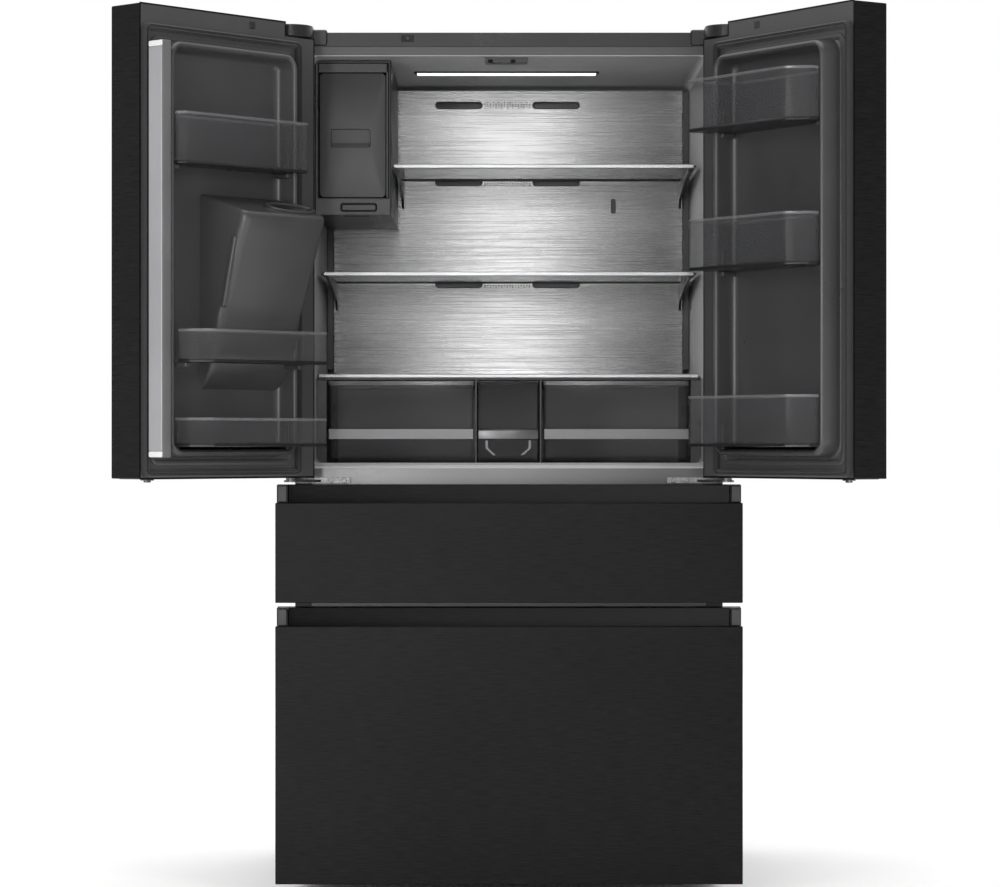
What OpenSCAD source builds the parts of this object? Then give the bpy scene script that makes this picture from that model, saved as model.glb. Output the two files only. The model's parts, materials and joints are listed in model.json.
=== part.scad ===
// French door refrigerator: two doors over two freezer drawers, shown with both doors open.
// Heights are measured from the floor. Depths are measured back from the cabinet's front face.
// The origin is on the floor, at the centre of the four levelling feet.

/* [Cabinet] */
// Width of the cabinet body
cabinet_w = 846; // [840:1:850]
// Depth of the cabinet body behind the doors
cabinet_d = 650; // [650:1:700]
// Height of the cabinet top above the floor
cabinet_top = 1695; // [1690:1:1697]
// Height of the cabinet's underside
cabinet_bottom = 40; // [36:1:42]
// Thickness of the steel sheet
sheet = 1; // [1:0.5:1.5]
// Thickness of the plastic liners
liner_t = 3; // [2:0.5:3]

/* [Fronts] */
// Width across the doors and drawer fronts
front_w = 912; // [908:1:916]
// Thickness of a door or drawer front
front_t = 80; // [78:1:82]
// Gap that the gaskets close
seal_gap = 12; // [12:0.5:14]
// Gap between the two doors
meeting_gap = 3; // [3:0.5:5]
// Bottom edge of the doors
door_bottom = 816; // [815:1:817]
// Top edge of the doors
door_top = 1702; // [1700:1:1706]
// Bottom and top edges of the upper drawer front
upper_front_z = [571, 801];
// Bottom and top edges of the lower drawer front
lower_front_z = [22, 560];
// Height of the grip profile over each drawer front
grip_h = 35; // [30:1:38]
// Width of the grip profile's end caps
grip_cap_w = 23; // [18:1:28]

/* [Door swing] */
// Angle at which the left door stands open
left_open = 132; // [95:1:134]
// Angle at which the right door stands open
right_open = 124; // [95:1:134]
// Distance of the hinge pin from the door's outer side
pin_inset = 28; // [28:0.5:29]
// Distance of the hinge pin in front of the door's inner face
pin_setback = 36; // [36:0.5:37]
// Radius of the hinge pins
pin_r = 6; // [5:0.5:7]

/* [Fresh food compartment] */
// Height of the compartment floor
fridge_floor = 843; // [843:1:845]
// Height of the compartment ceiling
fridge_ceiling = 1648; // [1646:1:1648]
// Depth of the compartment
fridge_depth = 590; // [585:1:592]
// Distance of the shelf edges behind the cabinet front
shelf_front = 150; // [146:1:160]
// Heights of the shelf tops, from the lowest
shelf_z = [1023, 1230, 1448];
// Height of a shelf's front trim
shelf_trim_h = 8.5; // [7:0.5:10]

/* [Hidden] */
$fn = 48;
half_w = cabinet_w / 2;
front_half = front_w / 2;
opening_x = half_w - 35;
liner_x = opening_x + liner_t;
flange_x = half_w - sheet;
back_y = cabinet_d - sheet;
front_y = -seal_gap - front_t;
inner_y = -seal_gap;
clear = 0.3;
fit = 0.05;

// Levelling feet
foot_x = 380;
foot_y = 100;
foot_r = 18;
foot_h = 10;
stem_r = 5;

// Rounded edge of the sill
sill_r = 10.6;

// Drawer compartments, as their lowest and highest inside heights
upper_cavity_z = [594, 776];
lower_cavity_z = [78, 540];
lower_cavity_d = 415;
machine_top = 255;
machine_y = 448;

// Hinges
pin_x = front_half - pin_inset;
pin_y = inner_y - pin_setback;
notch_w = 78;
notch_z = door_top - 26;
top_arm_z = [notch_z + 2, notch_z + 5];
low_arm_z = [806, 810];
boss_r = 11;
boss_h = 38;

// Inner door: u runs from the hinge side, v from the door's inner face
door_w = front_half - meeting_gap / 2;
dyke_u = [84, 418];
dyke_z = [858, 1634];
dyke_t = 14;
dyke_h = 45;
panel_t = 2;
gasket_u = [40, 451];
gasket_z = [819, 1666];
gasket_w = 13;

// Door bins: floor height, top height, and where the front and the back stand
left_bins = [[876, 930, 122, 4], [1033, 1095, 122, 60], [1403, 1500, 70, 4]];
right_bins = [[876, 973, 104, 4], [1214, 1312, 104, 4], [1481, 1581, 104, 4]];
bin_t = 3;
bin_u = [100, 402];
bin_wing_u = [82, 412];
bin_wing_v = 48;

// Flip mullion on the left door's free edge
mullion_w = 38;
mullion_t = 24;
mullion_z = [856, 1630];
mullion_gap = 2;
mullion_fold_x = -9.5;
mullion_pin_sum = mullion_fold_x + mullion_gap;
mullion_pin_dif = mullion_gap + mullion_w / 2;
mullion_pin_x = (mullion_pin_sum - mullion_pin_dif) / 2;
mullion_pin_y = (mullion_pin_sum + mullion_pin_dif) / 2;
mullion_pin_r = 2.5;
mullion_pin_l = 12;
hinge_plate_t = 6;

// Ice dispenser in the left door
recess_u = [125, 315];
recess_z = [1060, 1320];
recess_y = -20;
chute_y = 20;
chute_z = 1150;
recess_t = 2.5;
hump_u = [84, 300];
hump_top = 1335;
ice_u = 150;
ice_v = 92;
ice_r = 20;
tray_h = 16;
paddle_w = 50;
paddle_pos = [(recess_u[0] + recess_u[1]) / 2 - front_half, -8, 1284];
rod_r = 4;
rod_l = recess_u[1] - recess_u[0] - 36;

// Ice maker in the upper left corner
ice_box_x = [-opening_x + 0.1, -235];
ice_box_y = [64, 500];
ice_box_z = [1339, fridge_ceiling - 0.1];
ice_wall = 6;
ice_front_x = [-378, -246];
ice_front_z = [1374, 1622];
ice_front_t = 8;
bucket_x = [-372, -250];
bucket_z = [1378, 1500];
bucket_d = 350;
pull_d = 20;

// Shelves, crispers and duct
shelf_x = 375;
cover_x = 385;
top_shelf_left = -233;
glass_t = 4;
shelf_back = 552;
duct_y = 556;
duct_z = [1030, 1640];
crisper_y = 120;
crisper_d = 420;
crisper_z = [850, 1008];
crisper_x = [70, 364];
crisper_t = 3;
handle_z = [890, 912];
handle_t = 8;
tank_x = [-62, 60];

// Drawer tubs and their slides
tub_x = 362;
tub_t = 3;
upper_tub_z = [604, 758];
lower_tub_z = [92, 430];
upper_tub_back = 530;
lower_tub_back = 398;
rail_h = 30;

// ---- Helpers ----

// Moves a piece given from the cabinet's front face to the part's origin
module at_front() translate([0, -cabinet_d / 2, 0]) children();

// A block between pairs of limits
module span(x, y, z)
    translate([x[0], y[0], z[0]]) cube([x[1] - x[0], y[1] - y[0], z[1] - z[0]]);

module both_sides() {
    children();
    mirror([1, 0, 0]) children();
}

// A rectangle with round corners between pairs of limits
module rounded_rect(x, y, r) {
    translate([x[0] + r, y[0]]) square([x[1] - x[0] - 2 * r, y[1] - y[0]]);
    translate([x[0], y[0] + r]) square([x[1] - x[0], y[1] - y[0] - 2 * r]);
    for (cx = [x[0] + r, x[1] - r], cy = [y[0] + r, y[1] - r]) translate([cx, cy]) circle(r);
}

// A plate that faces forward, with round corners
module face_plate(x, y, z, r)
    translate([0, y[1], 0]) rotate([90, 0, 0]) linear_extrude(y[1] - y[0]) rounded_rect(x, z, r);

// A hollow block, open on top
module tub(x, y, z, t) difference() {
    span(x, y, z);
    span([x[0] + t, x[1] - t], [y[0] + t, y[1] - t], [z[0] + t, z[1] + 1]);
}

// A flat ring that faces forward
module face_ring(x, y, z, w) difference() {
    face_plate(x, y, z, 6);
    face_plate([x[0] + w, x[1] - w], [y[0] - 1, y[1] + 1], [z[0] + w, z[1] - w], 3);
}

// Turns a closed left door, or the mirror image of one, about its hinge pins
module swing(side, angle)
    translate([side * pin_x, pin_y, 0]) rotate([0, 0, side * angle])
        translate([-side * pin_x, -pin_y, 0]) children();
module on_left_door() at_front() swing(-1, left_open) children();
module on_right_door() at_front() swing(1, right_open) mirror([1, 0, 0]) children();

// A block given by distances from the hinge side and from the inner face of a closed left door
module door_span(u, v, z)
    span([u[0] - front_half, u[1] - front_half], [v[0] + inner_y, v[1] + inner_y], z);

// ---- Cabinet ----

module cabinet_shell() color([0.30, 0.30, 0.31]) at_front() difference() {
    span([-half_w, half_w], [0, cabinet_d], [cabinet_bottom, cabinet_top]);
    span([-flange_x, flange_x], [sheet, back_y], [cabinet_bottom - 1, cabinet_top - sheet]);
    span([-liner_x, liner_x], [-1, sheet + 1], [cabinet_bottom - 1, fridge_ceiling + liner_t]);
    span([-400, 400], [back_y - 1, cabinet_d + 1], [cabinet_bottom - 1, 250]);
}

// Foam boards in the walls, each a block of its own
module insulation() color([0.93, 0.88, 0.70]) at_front() {
    gap = clear;
    rear = back_y - gap;
    lower_back = lower_cavity_d + liner_t;
    high = cabinet_top - sheet - gap;
    x_in = liner_x - gap;
    both_sides() span([liner_x + gap, flange_x - gap], [2, rear], [45, high]);
    span([-x_in, x_in], [2, rear], [fridge_ceiling + liner_t + gap, high]);
    span([-x_in, x_in], [fridge_depth + liner_t + gap, rear], [machine_top + 30, fridge_ceiling]);
    span([-x_in, x_in], [19, fridge_depth], [upper_cavity_z[1] + liner_t + 1, fridge_floor - 4]);
    span([-x_in, x_in], [19, fridge_depth], [lower_cavity_z[1] + 4, upper_cavity_z[0] - 4]);
    span([-x_in, x_in], [lower_back + gap, rear], [machine_top, machine_top + 29]);
    span([-x_in, x_in], [lower_back + gap, machine_y], [45, machine_top - gap]);
    span([-x_in, x_in], [lower_back + gap, lower_back + 14], [machine_top + 30, lower_cavity_z[1]]);
    span([-x_in, x_in], [19, lower_back], [45, lower_cavity_z[0] - liner_t - gap]);
}

// Corner taken off the front edge of the fresh food floor
module sill_corner() difference() {
    span([-liner_x - 1, liner_x + 1], [-1, sill_r], [fridge_floor - sill_r, fridge_floor + 1]);
    translate([-liner_x - 2, sill_r - 0.2, fridge_floor - sill_r + 0.2]) rotate([0, 90, 0])
        cylinder(r = sill_r, h = 2 * liner_x + 4);
}

module fridge_liner() color([0.55, 0.56, 0.57]) at_front() difference() {
    span([-liner_x, liner_x], [sheet, fridge_depth + liner_t],
        [fridge_floor - liner_t, fridge_ceiling + liner_t]);
    span([-opening_x, opening_x], [0, fridge_depth], [fridge_floor, fridge_ceiling]);
    sill_corner();
}

module drawer_liner(z, depth) difference() {
    span([-liner_x, liner_x], [sheet, depth + liner_t], [z[0] - liner_t, z[1] + liner_t]);
    span([-opening_x, opening_x], [0, depth], z);
}

module drawer_liners() color([0.85, 0.86, 0.87]) at_front() {
    drawer_liner(upper_cavity_z, fridge_depth);
    drawer_liner(lower_cavity_z, lower_cavity_d);
}

// A round-ended hinge cover, clear of the door's swing
module hinge_cover() difference() {
    translate([pin_x, pin_y, top_arm_z[0] - 1]) linear_extrude(cabinet_top + 6.5 - top_arm_z[0]) {
        circle(43);
        translate([-43, 0]) square([59, 118]);
    }
    translate([0, 0, top_arm_z[0] - 2]) linear_extrude(cabinet_top + 5 - top_arm_z[0]) {
        translate([pin_x, pin_y]) circle(40);
        translate([pin_x - 40, pin_y]) square([53, -pin_y]);
    }
    span([pin_x - 60, pin_x + 60], [-clear, 80], [top_arm_z[0] - 3, cabinet_top]);
    span([pin_x - 40, pin_x + 13], [-1, 66], [cabinet_top - 1, cabinet_top + 4]);
}

// The dark band over the opening, and the covers of the two upper hinges
module top_trim() color([0.16, 0.16, 0.17]) at_front() {
    face_plate([-366, 366], [-3.5, 0], [1667, cabinet_top - 0.5], 2);
    both_sides() hinge_cover();
}

// Front rails over and between the drawers
module cross_rails() color([0.46, 0.46, 0.47]) at_front() {
    x_end = liner_x - 0.2;
    difference() {
        span([-x_end, x_end], [0, 18], [upper_cavity_z[1] + liner_t + 0.5, fridge_floor - liner_t - 0.2]);
        sill_corner();
    }
    span([-x_end, x_end], [0, 18], [lower_cavity_z[1] + liner_t + 0.2, upper_cavity_z[0] - liner_t - 0.2]);
}

// Steel back panel with rows of vents
module duct_panel() color([0.72, 0.72, 0.73]) at_front() difference() {
    span([-shelf_x, shelf_x], [duct_y, fridge_depth - 0.1], duct_z);
    span([-shelf_x + 2, shelf_x - 2], [duct_y + sheet, fridge_depth + 1], [duct_z[0] + 2, duct_z[1] - 2]);
    for (z = [1224, 1443, 1609], x = [-155, 54])
        face_plate([x, x + 98], [duct_y - 1, duct_y + 3], [z - 6, z + 6], 5.9);
}

module ceiling_light() color([0.96, 0.96, 0.92]) at_front()
    span([-188, 180], [266, 294], [fridge_ceiling - 5, fridge_ceiling]);

// Block on the ceiling with the track that turns the mullion
module mullion_guide() color([0.25, 0.25, 0.26]) at_front() difference() {
    face_plate([-47, 37], [20, 60], [fridge_ceiling - 10, fridge_ceiling], 3);
    translate([-14, 18, fridge_ceiling - 11]) rotate_extrude() translate([18, 0]) square([9, 7]);
}

module ice_housing() color([0.13, 0.13, 0.14]) at_front() difference() {
    span(ice_box_x, ice_box_y, ice_box_z);
    span([ice_box_x[0] + 8, ice_box_x[1] - ice_wall], [ice_box_y[0] - 1, ice_box_y[1] - ice_wall],
        [ice_front_z[0] - 1, ice_box_z[1] - ice_wall]);
    span([ice_front_x[0] - 2, ice_front_x[1] + 2], [ice_box_y[0] - 1, ice_box_y[0] + 9],
        [ice_front_z[0] - 1, ice_front_z[1] + 2]);
    span([-330, -282], [76, 112], [ice_box_z[0] - 1, ice_front_z[0]]);
    face_plate([-335, -265], [ice_box_y[0] - 1, ice_box_y[0] + 8], [1347, 1361], 4);
}

// Ice mould with its pockets, under the motor and gearbox
module ice_maker() color([0.62, 0.63, 0.64]) at_front() {
    difference() {
        span([-362, -262], [110, 380], [1540, 1580]);
        for (i = [0:6]) translate([-312, 132 + i * 37, 1586]) rotate([0, 90, 0])
            cylinder(r = 32, h = 76, center = true);
        for (i = [0:5]) span([-352, -272], [148 + i * 37, 153 + i * 37], [1570, 1590]);
    }
    span([-358, -266], [380, 450], [1530, 1620]);
    span([-330, -294], [390, 440], [1620, ice_box_z[1] - ice_wall]);
}

// Glass panes of the three shelves, on the same body as their trims
module shelf_pane(x, z) span(x, [shelf_front + 10, shelf_back], [z - 2 - glass_t, z - 2]);
module shelf_glass() color([0.80, 0.88, 0.88, 0.4]) at_front() {
    shelf_pane([-cover_x + 4, cover_x - 4], shelf_z[0]);
    shelf_pane([-shelf_x + 4, shelf_x - 4], shelf_z[1]);
    shelf_pane([top_shelf_left + 4, shelf_x - 4], shelf_z[2]);
}

module shelf_trim(x, z) {
    span(x, [shelf_front, shelf_front + 9.8], [z - shelf_trim_h, z]);
    span([x[0] + 2, x[1] - 2], [shelf_back - 8, shelf_back], [z - 1.8, z + 8]);
}
module shelf_trims() color([0.86, 0.86, 0.86]) at_front() {
    shelf_trim([-cover_x, cover_x], shelf_z[0]);
    shelf_trim([-shelf_x, shelf_x], shelf_z[1]);
    shelf_trim([top_shelf_left, shelf_x], shelf_z[2]);
}

// A cantilever arm under one end of a shelf, with its hooks at the back
module shelf_arm(x, z) translate([x, 0, 0]) rotate([90, 0, 90]) linear_extrude(5)
    polygon([[shelf_front + 14, z - 6.2], [duct_y - 1, z - 6.2], [duct_y - 1, z - 62],
        [530, z - 62], [505, z - 44], [320, z - 22], [shelf_front + 14, z - 13]]);
module shelf_brackets() color([0.10, 0.10, 0.11]) at_front() {
    for (z = [shelf_z[1], shelf_z[2]]) shelf_arm(shelf_x - 10, z);
    shelf_arm(5 - shelf_x, shelf_z[1]);
    shelf_arm(top_shelf_left + 5, shelf_z[2]);
}

// Slotted rails in the rear corners
module ladder_rails() color([0.35, 0.35, 0.36]) at_front() both_sides() difference() {
    span([shelf_x + 0.2, opening_x - 0.2], [540, 575], [1040, 1636]);
    for (z = [1052:24:1620]) span([shelf_x - 1, shelf_x + 8], [546, 552], [z, z + 12]);
}

// Dividers and runners that carry the crispers and the cover shelf
module crisper_frame() color([0.09, 0.09, 0.10]) at_front() {
    top = shelf_z[0] - shelf_trim_h - 0.2;
    for (x = [tank_x[0] - 6, tank_x[1] + 2.5])
        span([x, x + 4], [crisper_y + 4, fridge_depth - 2], [fridge_floor, top - 4.2]);
    span([-cover_x + 1, cover_x - 1], [crisper_y + 6, crisper_y + 26], [top - 4, top]);
    span([-cover_x + 1, cover_x - 1], [fridge_depth - 40, fridge_depth - 22], [top - 4, top]);
    both_sides() span([cover_x - 17, cover_x - 1], [crisper_y + 26, fridge_depth - 40], [top - 4, top]);
    both_sides() span([crisper_x[1] + 3, opening_x - 0.2], [crisper_y + 4, fridge_depth - 2],
        [fridge_floor, top - 4.2]);
}

// ---- Hinges ----

module top_hinge() {
    translate([0, 0, top_arm_z[0]]) linear_extrude(top_arm_z[1] - top_arm_z[0]) {
        translate([pin_x, pin_y]) circle(14);
        translate([pin_x - 14, pin_y]) square([24, -pin_y - clear]);
    }
    span([pin_x - 14, pin_x + 10], [-4, -clear], [top_arm_z[0], cabinet_top + 2]);
    span([pin_x - 38, pin_x + 10], [-clear, 62], [cabinet_top, cabinet_top + 2]);
    translate([pin_x, pin_y, notch_z - boss_h + 4]) cylinder(r = pin_r, h = boss_h);
}

module low_hinge() {
    span([313, 423], [-3, 0], [803, 815]);
    translate([0, 0, low_arm_z[0]]) linear_extrude(low_arm_z[1] - low_arm_z[0]) {
        translate([pin_x, pin_y]) circle(14);
        polygon([[pin_x - 14, pin_y], [pin_x + 14, pin_y], [423, -2.9], [372, -2.9]]);
    }
    translate([pin_x, pin_y, low_arm_z[0] + 1]) cylinder(r = pin_r, h = boss_h + 10);
    translate([pin_x, pin_y, low_arm_z[1]]) cylinder(r = 10, h = door_bottom - low_arm_z[1] - clear);
}

module hinge_screws() {
    for (x = [326, 352]) translate([x, -3, 809]) rotate([90, 0, 0]) cylinder(r = 4.5, h = 2.4);
    for (y = [16, 46]) translate([pin_x - 24, y, cabinet_top + 2]) cylinder(r = 6, h = 1.5);
}

// Steel hinge brackets with their pins and screws
module hinge_brackets() color([0.70, 0.70, 0.71]) at_front() both_sides() {
    top_hinge();
    low_hinge();
    hinge_screws();
}

// ---- Base and machine compartment ----

module base_frame() color([0.22, 0.22, 0.23]) at_front() difference() {
    union() {
        span([-flange_x + 0.2, flange_x - 0.2], [2, back_y - 0.5], [cabinet_bottom, cabinet_bottom + 3]);
        span([-liner_x + 0.2, liner_x - 0.2], [0, 18], [cabinet_bottom, lower_cavity_z[0] - liner_t - 0.2]);
    }
    for (x = [-foot_x, foot_x], y = [foot_y, cabinet_d - foot_y])
        translate([x, y, cabinet_bottom - 1]) cylinder(r = stem_r + fit, h = 5);
    for (x = [-24:8:24]) span([x * 10, x * 10 + 40], [470, 478], [cabinet_bottom - 1, cabinet_bottom + 4]);
}

module levelling_feet() color([0.12, 0.12, 0.12]) at_front()
    for (x = [-foot_x, foot_x], y = [foot_y, cabinet_d - foot_y]) translate([x, y, 0]) {
        cylinder(r = foot_r, h = foot_h);
        cylinder(r = stem_r, h = cabinet_bottom + 4.8);
    }

module rear_cover() color([0.20, 0.20, 0.21]) at_front() difference() {
    span([-399, 399], [back_y, cabinet_d], [cabinet_bottom + 4, 249.5]);
    for (x = [-320:40:-40], z = [80:16:208]) span([x, x + 30], [back_y - 1, cabinet_d + 1], [z, z + 5]);
    for (x = [60:40:220], z = [80:16:208]) span([x, x + 30], [back_y - 1, cabinet_d + 1], [z, z + 5]);
    translate([340, cabinet_d + 1, 200]) rotate([90, 0, 0]) cylinder(r = 11 + fit, h = 4);
}

// Sealed pot with its mounting plate and pipe stubs
module compressor() color([0.08, 0.08, 0.08]) at_front() translate([-180, 540, cabinet_bottom + 3]) {
    span([-95, 95], [-60, 60], [0, 3]);
    for (x = [-78, 78], y = [-44, 44]) translate([x, y, 3]) cylinder(r = 12, h = 12);
    span([-93, 93], [-58, 58], [15, 18]);
    translate([0, 0, 18]) cylinder(r = 62, h = 105);
    translate([0, 0, 123]) cylinder(r1 = 62, r2 = 34, h = 24);
    span([55, 84], [-22, 22], [50, 105]);
    translate([-20, -68, 60]) rotate([-90, 0, 0]) cylinder(r = 4, h = 30);
}

// Finned condenser block with the fan's shroud at its side
fan_x = 20;
fan_pos = [fan_x, 540, 146];
module condenser() color([0.40, 0.40, 0.41]) at_front() {
    for (i = [0:11]) span([90 + i * 14, 91 + i * 14], [490, 600], [60, 225]);
    for (y = [510, 545, 580], z = [80, 115, 150, 185, 215])
        translate([80, y, z]) rotate([0, 90, 0]) cylinder(r = 4, h = 180);
    difference() {
        span([fan_x - 12, fan_x + 12], [455, 625], [cabinet_bottom + 3.2, 234]);
        translate([fan_x - 13, fan_pos[1], fan_pos[2]]) rotate([0, 90, 0]) cylinder(r = 78, h = 26);
    }
    span([fan_x + 12, 270], [600, 606], [cabinet_bottom + 3.2, 60]);
    span([fan_x + 12, 270], [484, 490], [cabinet_bottom + 3.2, 64]);
    span([fan_x + 12, 260], [488, 606], [57, 60.5]);
    span([fan_x - 12, fan_x - 8], [520, 560], [126, 166]);
    for (a = [0, 90]) translate(fan_pos) rotate([a, 0, 0])
        span([-12, -8], [-79, 79], [-4, 4]);
    translate([fan_x - 8, fan_pos[1], fan_pos[2]]) rotate([0, 90, 0]) cylinder(r = 3, h = 14);
}

// Fan wheel with five pitched blades
module condenser_fan() color([0.15, 0.15, 0.16]) at_front() translate(fan_pos) rotate([0, 90, 0])
    difference() {
        union() {
            translate([0, 0, -6]) cylinder(r = 20, h = 14);
            for (i = [0:4]) rotate([0, 0, i * 72]) translate([44, 0, 1]) rotate([28, 0, 0])
                cube([58, 34, 1.6], center = true);
        }
        translate([0, 0, -9]) cylinder(r = 3 + fit, h = 20);
    }

// Finned coil behind the lower drawer
module evaporator() color([0.75, 0.76, 0.77]) at_front() {
    for (i = [0:20]) span([-280 + i * 28, -279 + i * 28], [440, 520], [310, 520]);
    for (y = [460, 500], z = [330, 370, 410, 450, 490])
        translate([-295, y, z]) rotate([0, 90, 0]) cylinder(r = 4, h = 590);
    both_sides() span([293, 297], [445, 515], [300, 525]);
}

// Gland for the mains lead
module power_inlet() color([0.07, 0.07, 0.07]) at_front() translate([340, 0, 200]) rotate([-90, 0, 0])
    difference() {
        union() {
            translate([0, 0, back_y - 10]) cylinder(r = 11, h = 16);
            translate([0, 0, cabinet_d + 0.1]) cylinder(r = 14, h = 4);
            translate([0, 0, back_y - 10]) cylinder(r = 14, h = 9.9);
        }
        translate([0, 0, back_y - 20]) cylinder(r = 4.5, h = 40);
    }

// Fixed halves of the drawer slides
module drawer_rails() color([0.66, 0.66, 0.67]) at_front() both_sides() {
    span([tub_x + 16, opening_x - 0.1], [8, upper_tub_back], [650, 650 + rail_h]);
    span([tub_x + 16, opening_x - 0.1], [8, lower_tub_back], [300, 300 + rail_h]);
}

// ---- Doors, drawn closed on the left ----

// The door's outline, grown by a margin and moved back by a shrinking one
module door_block(grow) difference() {
    span([-front_half - grow, -front_half + door_w + grow], [front_y - grow, inner_y - grow],
        [door_bottom - grow, door_top + grow]);
    span([-front_half - 5, -front_half + notch_w - grow], [front_y - 5, inner_y + 5],
        [notch_z + grow, door_top + 5]);
}

module hinge_bosses(r) for (z = [notch_z - sheet - boss_h, door_bottom + sheet])
    translate([-pin_x, pin_y, z]) cylinder(r = r, h = boss_h);

// Steel skin wrapped round the door's front and edges, with the bosses for the pins
module door_shell() difference() {
    union() {
        difference() {
            door_block(0);
            door_block(-sheet);
        }
        hinge_bosses(boss_r);
    }
    translate([-pin_x, pin_y, door_bottom - 1]) cylinder(r = pin_r + fit, h = boss_h + 4);
    translate([-pin_x, pin_y, notch_z - boss_h - 4]) cylinder(r = pin_r + fit, h = boss_h + 5);
}

// The stretch of the door's hollow between two depths
module door_slice(y) intersection() {
    door_block(-sheet - clear);
    span([-front_half, 0], y, [door_bottom, door_top]);
}

// Foam block that fills the door
module door_core() difference() {
    door_slice([front_y, inner_y - panel_t - clear]);
    hinge_bosses(boss_r + 0.3);
}

// Inner panel with the raised ring that the bins hang in
module door_liner(bins) {
    difference() {
        door_slice([inner_y - panel_t, inner_y]);
        children();
    }
    difference() {
        door_span(dyke_u, [-1, dyke_h], dyke_z);
        door_span([dyke_u[0] + dyke_t, dyke_u[1] - dyke_t], [-0.5, dyke_h + 1],
            [dyke_z[0] + dyke_t, dyke_z[1] - dyke_t]);
        door_span([dyke_u[0] + 2, dyke_u[1] - 2], [-2, dyke_h - 2], [dyke_z[0] + 2, dyke_z[0] + dyke_t - 2]);
        children();
    }
    for (bin = bins, u = [dyke_u[0] + dyke_t - 1, bin_u[1] - 12])
        door_span([u, u + 15], [10, max(40, bin[3] + 12)], [bin[0] - 9, bin[0] - clear]);
}

module door_gasket() difference() {
    face_plate([gasket_u[0] - front_half, gasket_u[1] - front_half], [inner_y, -clear], gasket_z, 10);
    face_plate([gasket_u[0] - front_half + gasket_w, gasket_u[1] - front_half - gasket_w],
        [inner_y - 1, 1], [gasket_z[0] + gasket_w, gasket_z[1] - gasket_w], 4);
}

// Outline of a door bin seen from above, drawn in by t
function bin_outline(bin, t) = let (
    depth = bin[2], back = bin[3], wing = max(bin_wing_v, back - 3),
    bevel = min(34, depth - 56), side = back < wing ? t : -t
) [
    [bin_u[0] + side, back + t], [bin_u[1] - side, back + t],
    [bin_u[1] - side, wing + t], [bin_wing_u[1] - t, wing + t],
    [bin_wing_u[1] - t, depth - bevel - t / 2], [bin_wing_u[1] - bevel - t / 2, depth - t],
    [bin_wing_u[0] + t, depth - t], [bin_wing_u[0] + t, wing + t],
    [bin_u[0] + side, wing + t]
];
module door_bin(bin) translate([-front_half, inner_y, 0]) difference() {
    translate([0, 0, bin[0]]) linear_extrude(bin[1] - bin[0]) polygon(bin_outline(bin, 0));
    translate([0, 0, bin[0] + bin_t]) linear_extrude(bin[1]) polygon(bin_outline(bin, bin_t));
}

// ---- Left door ----

// Space that the dispenser takes in the left door, grown by a margin
module recess_space(grow) {
    door_span([recess_u[0] - grow, recess_u[1] + grow], [front_y - inner_y - 2, recess_y - inner_y + grow],
        [recess_z[0] - grow, recess_z[1] + grow]);
    door_span([recess_u[0] + 20 - grow, recess_u[1] - 20 + grow], [-20, chute_y - inner_y + grow],
        [chute_z - grow, recess_z[1] - 8 + grow]);
}

module ice_passage() {
    translate([ice_u - front_half, ice_v + inner_y, 1285]) cylinder(r = ice_r, h = 70);
    door_span([ice_u - ice_r, ice_u + ice_r], [20, ice_v], [1285, 1310]);
}

// Side profile of the hump over the dispenser, as depth and height
hump_profile = [[-1, 985], [10, 990], [34, 1030], [50, 1085], [55, 1125], [74, 1165],
    [118, 1290], [122, 1308], [122, hump_top - 6], [116, hump_top], [-1, hump_top]];
module hump() translate([hump_u[0] - front_half, inner_y, 0]) rotate([90, 0, 90])
    linear_extrude(hump_u[1] - hump_u[0]) polygon(hump_profile);

// Pin plates at the two ends of the mullion
module mullion_plate(z, pin_z) {
    translate([0, 0, z]) linear_extrude(hinge_plate_t) {
        translate([mullion_pin_x, mullion_pin_y]) circle(5);
        polygon([[-34, inner_y], [-19, inner_y], [-19, 0.5], [mullion_pin_x + 5, mullion_pin_y],
            [mullion_pin_x - 3, mullion_pin_y + 4], [-34, -4]]);
    }
    translate([mullion_pin_x, mullion_pin_y, pin_z]) cylinder(r = mullion_pin_r, h = mullion_pin_l);
}

module left_door_shell() color([0.12, 0.12, 0.13]) on_left_door() difference() {
    door_shell();
    recess_space(recess_t + 0.2);
}
module left_door_core() color([0.93, 0.88, 0.70]) on_left_door() difference() {
    door_core();
    recess_space(recess_t + 0.3);
}
module left_door_liner() color([0.42, 0.42, 0.43]) on_left_door() {
    door_liner(left_bins) recess_space(recess_t + 0.3);
    difference() {
        hump();
        recess_space(recess_t + 0.3);
        ice_passage();
    }
    mullion_plate(mullion_z[0] - clear - hinge_plate_t, mullion_z[0] - clear - 1);
    mullion_plate(mullion_z[1] + clear, mullion_z[1] + clear + 1 - mullion_pin_l);
}
module left_door_gasket() color([0.22, 0.22, 0.22]) on_left_door() door_gasket();

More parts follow.
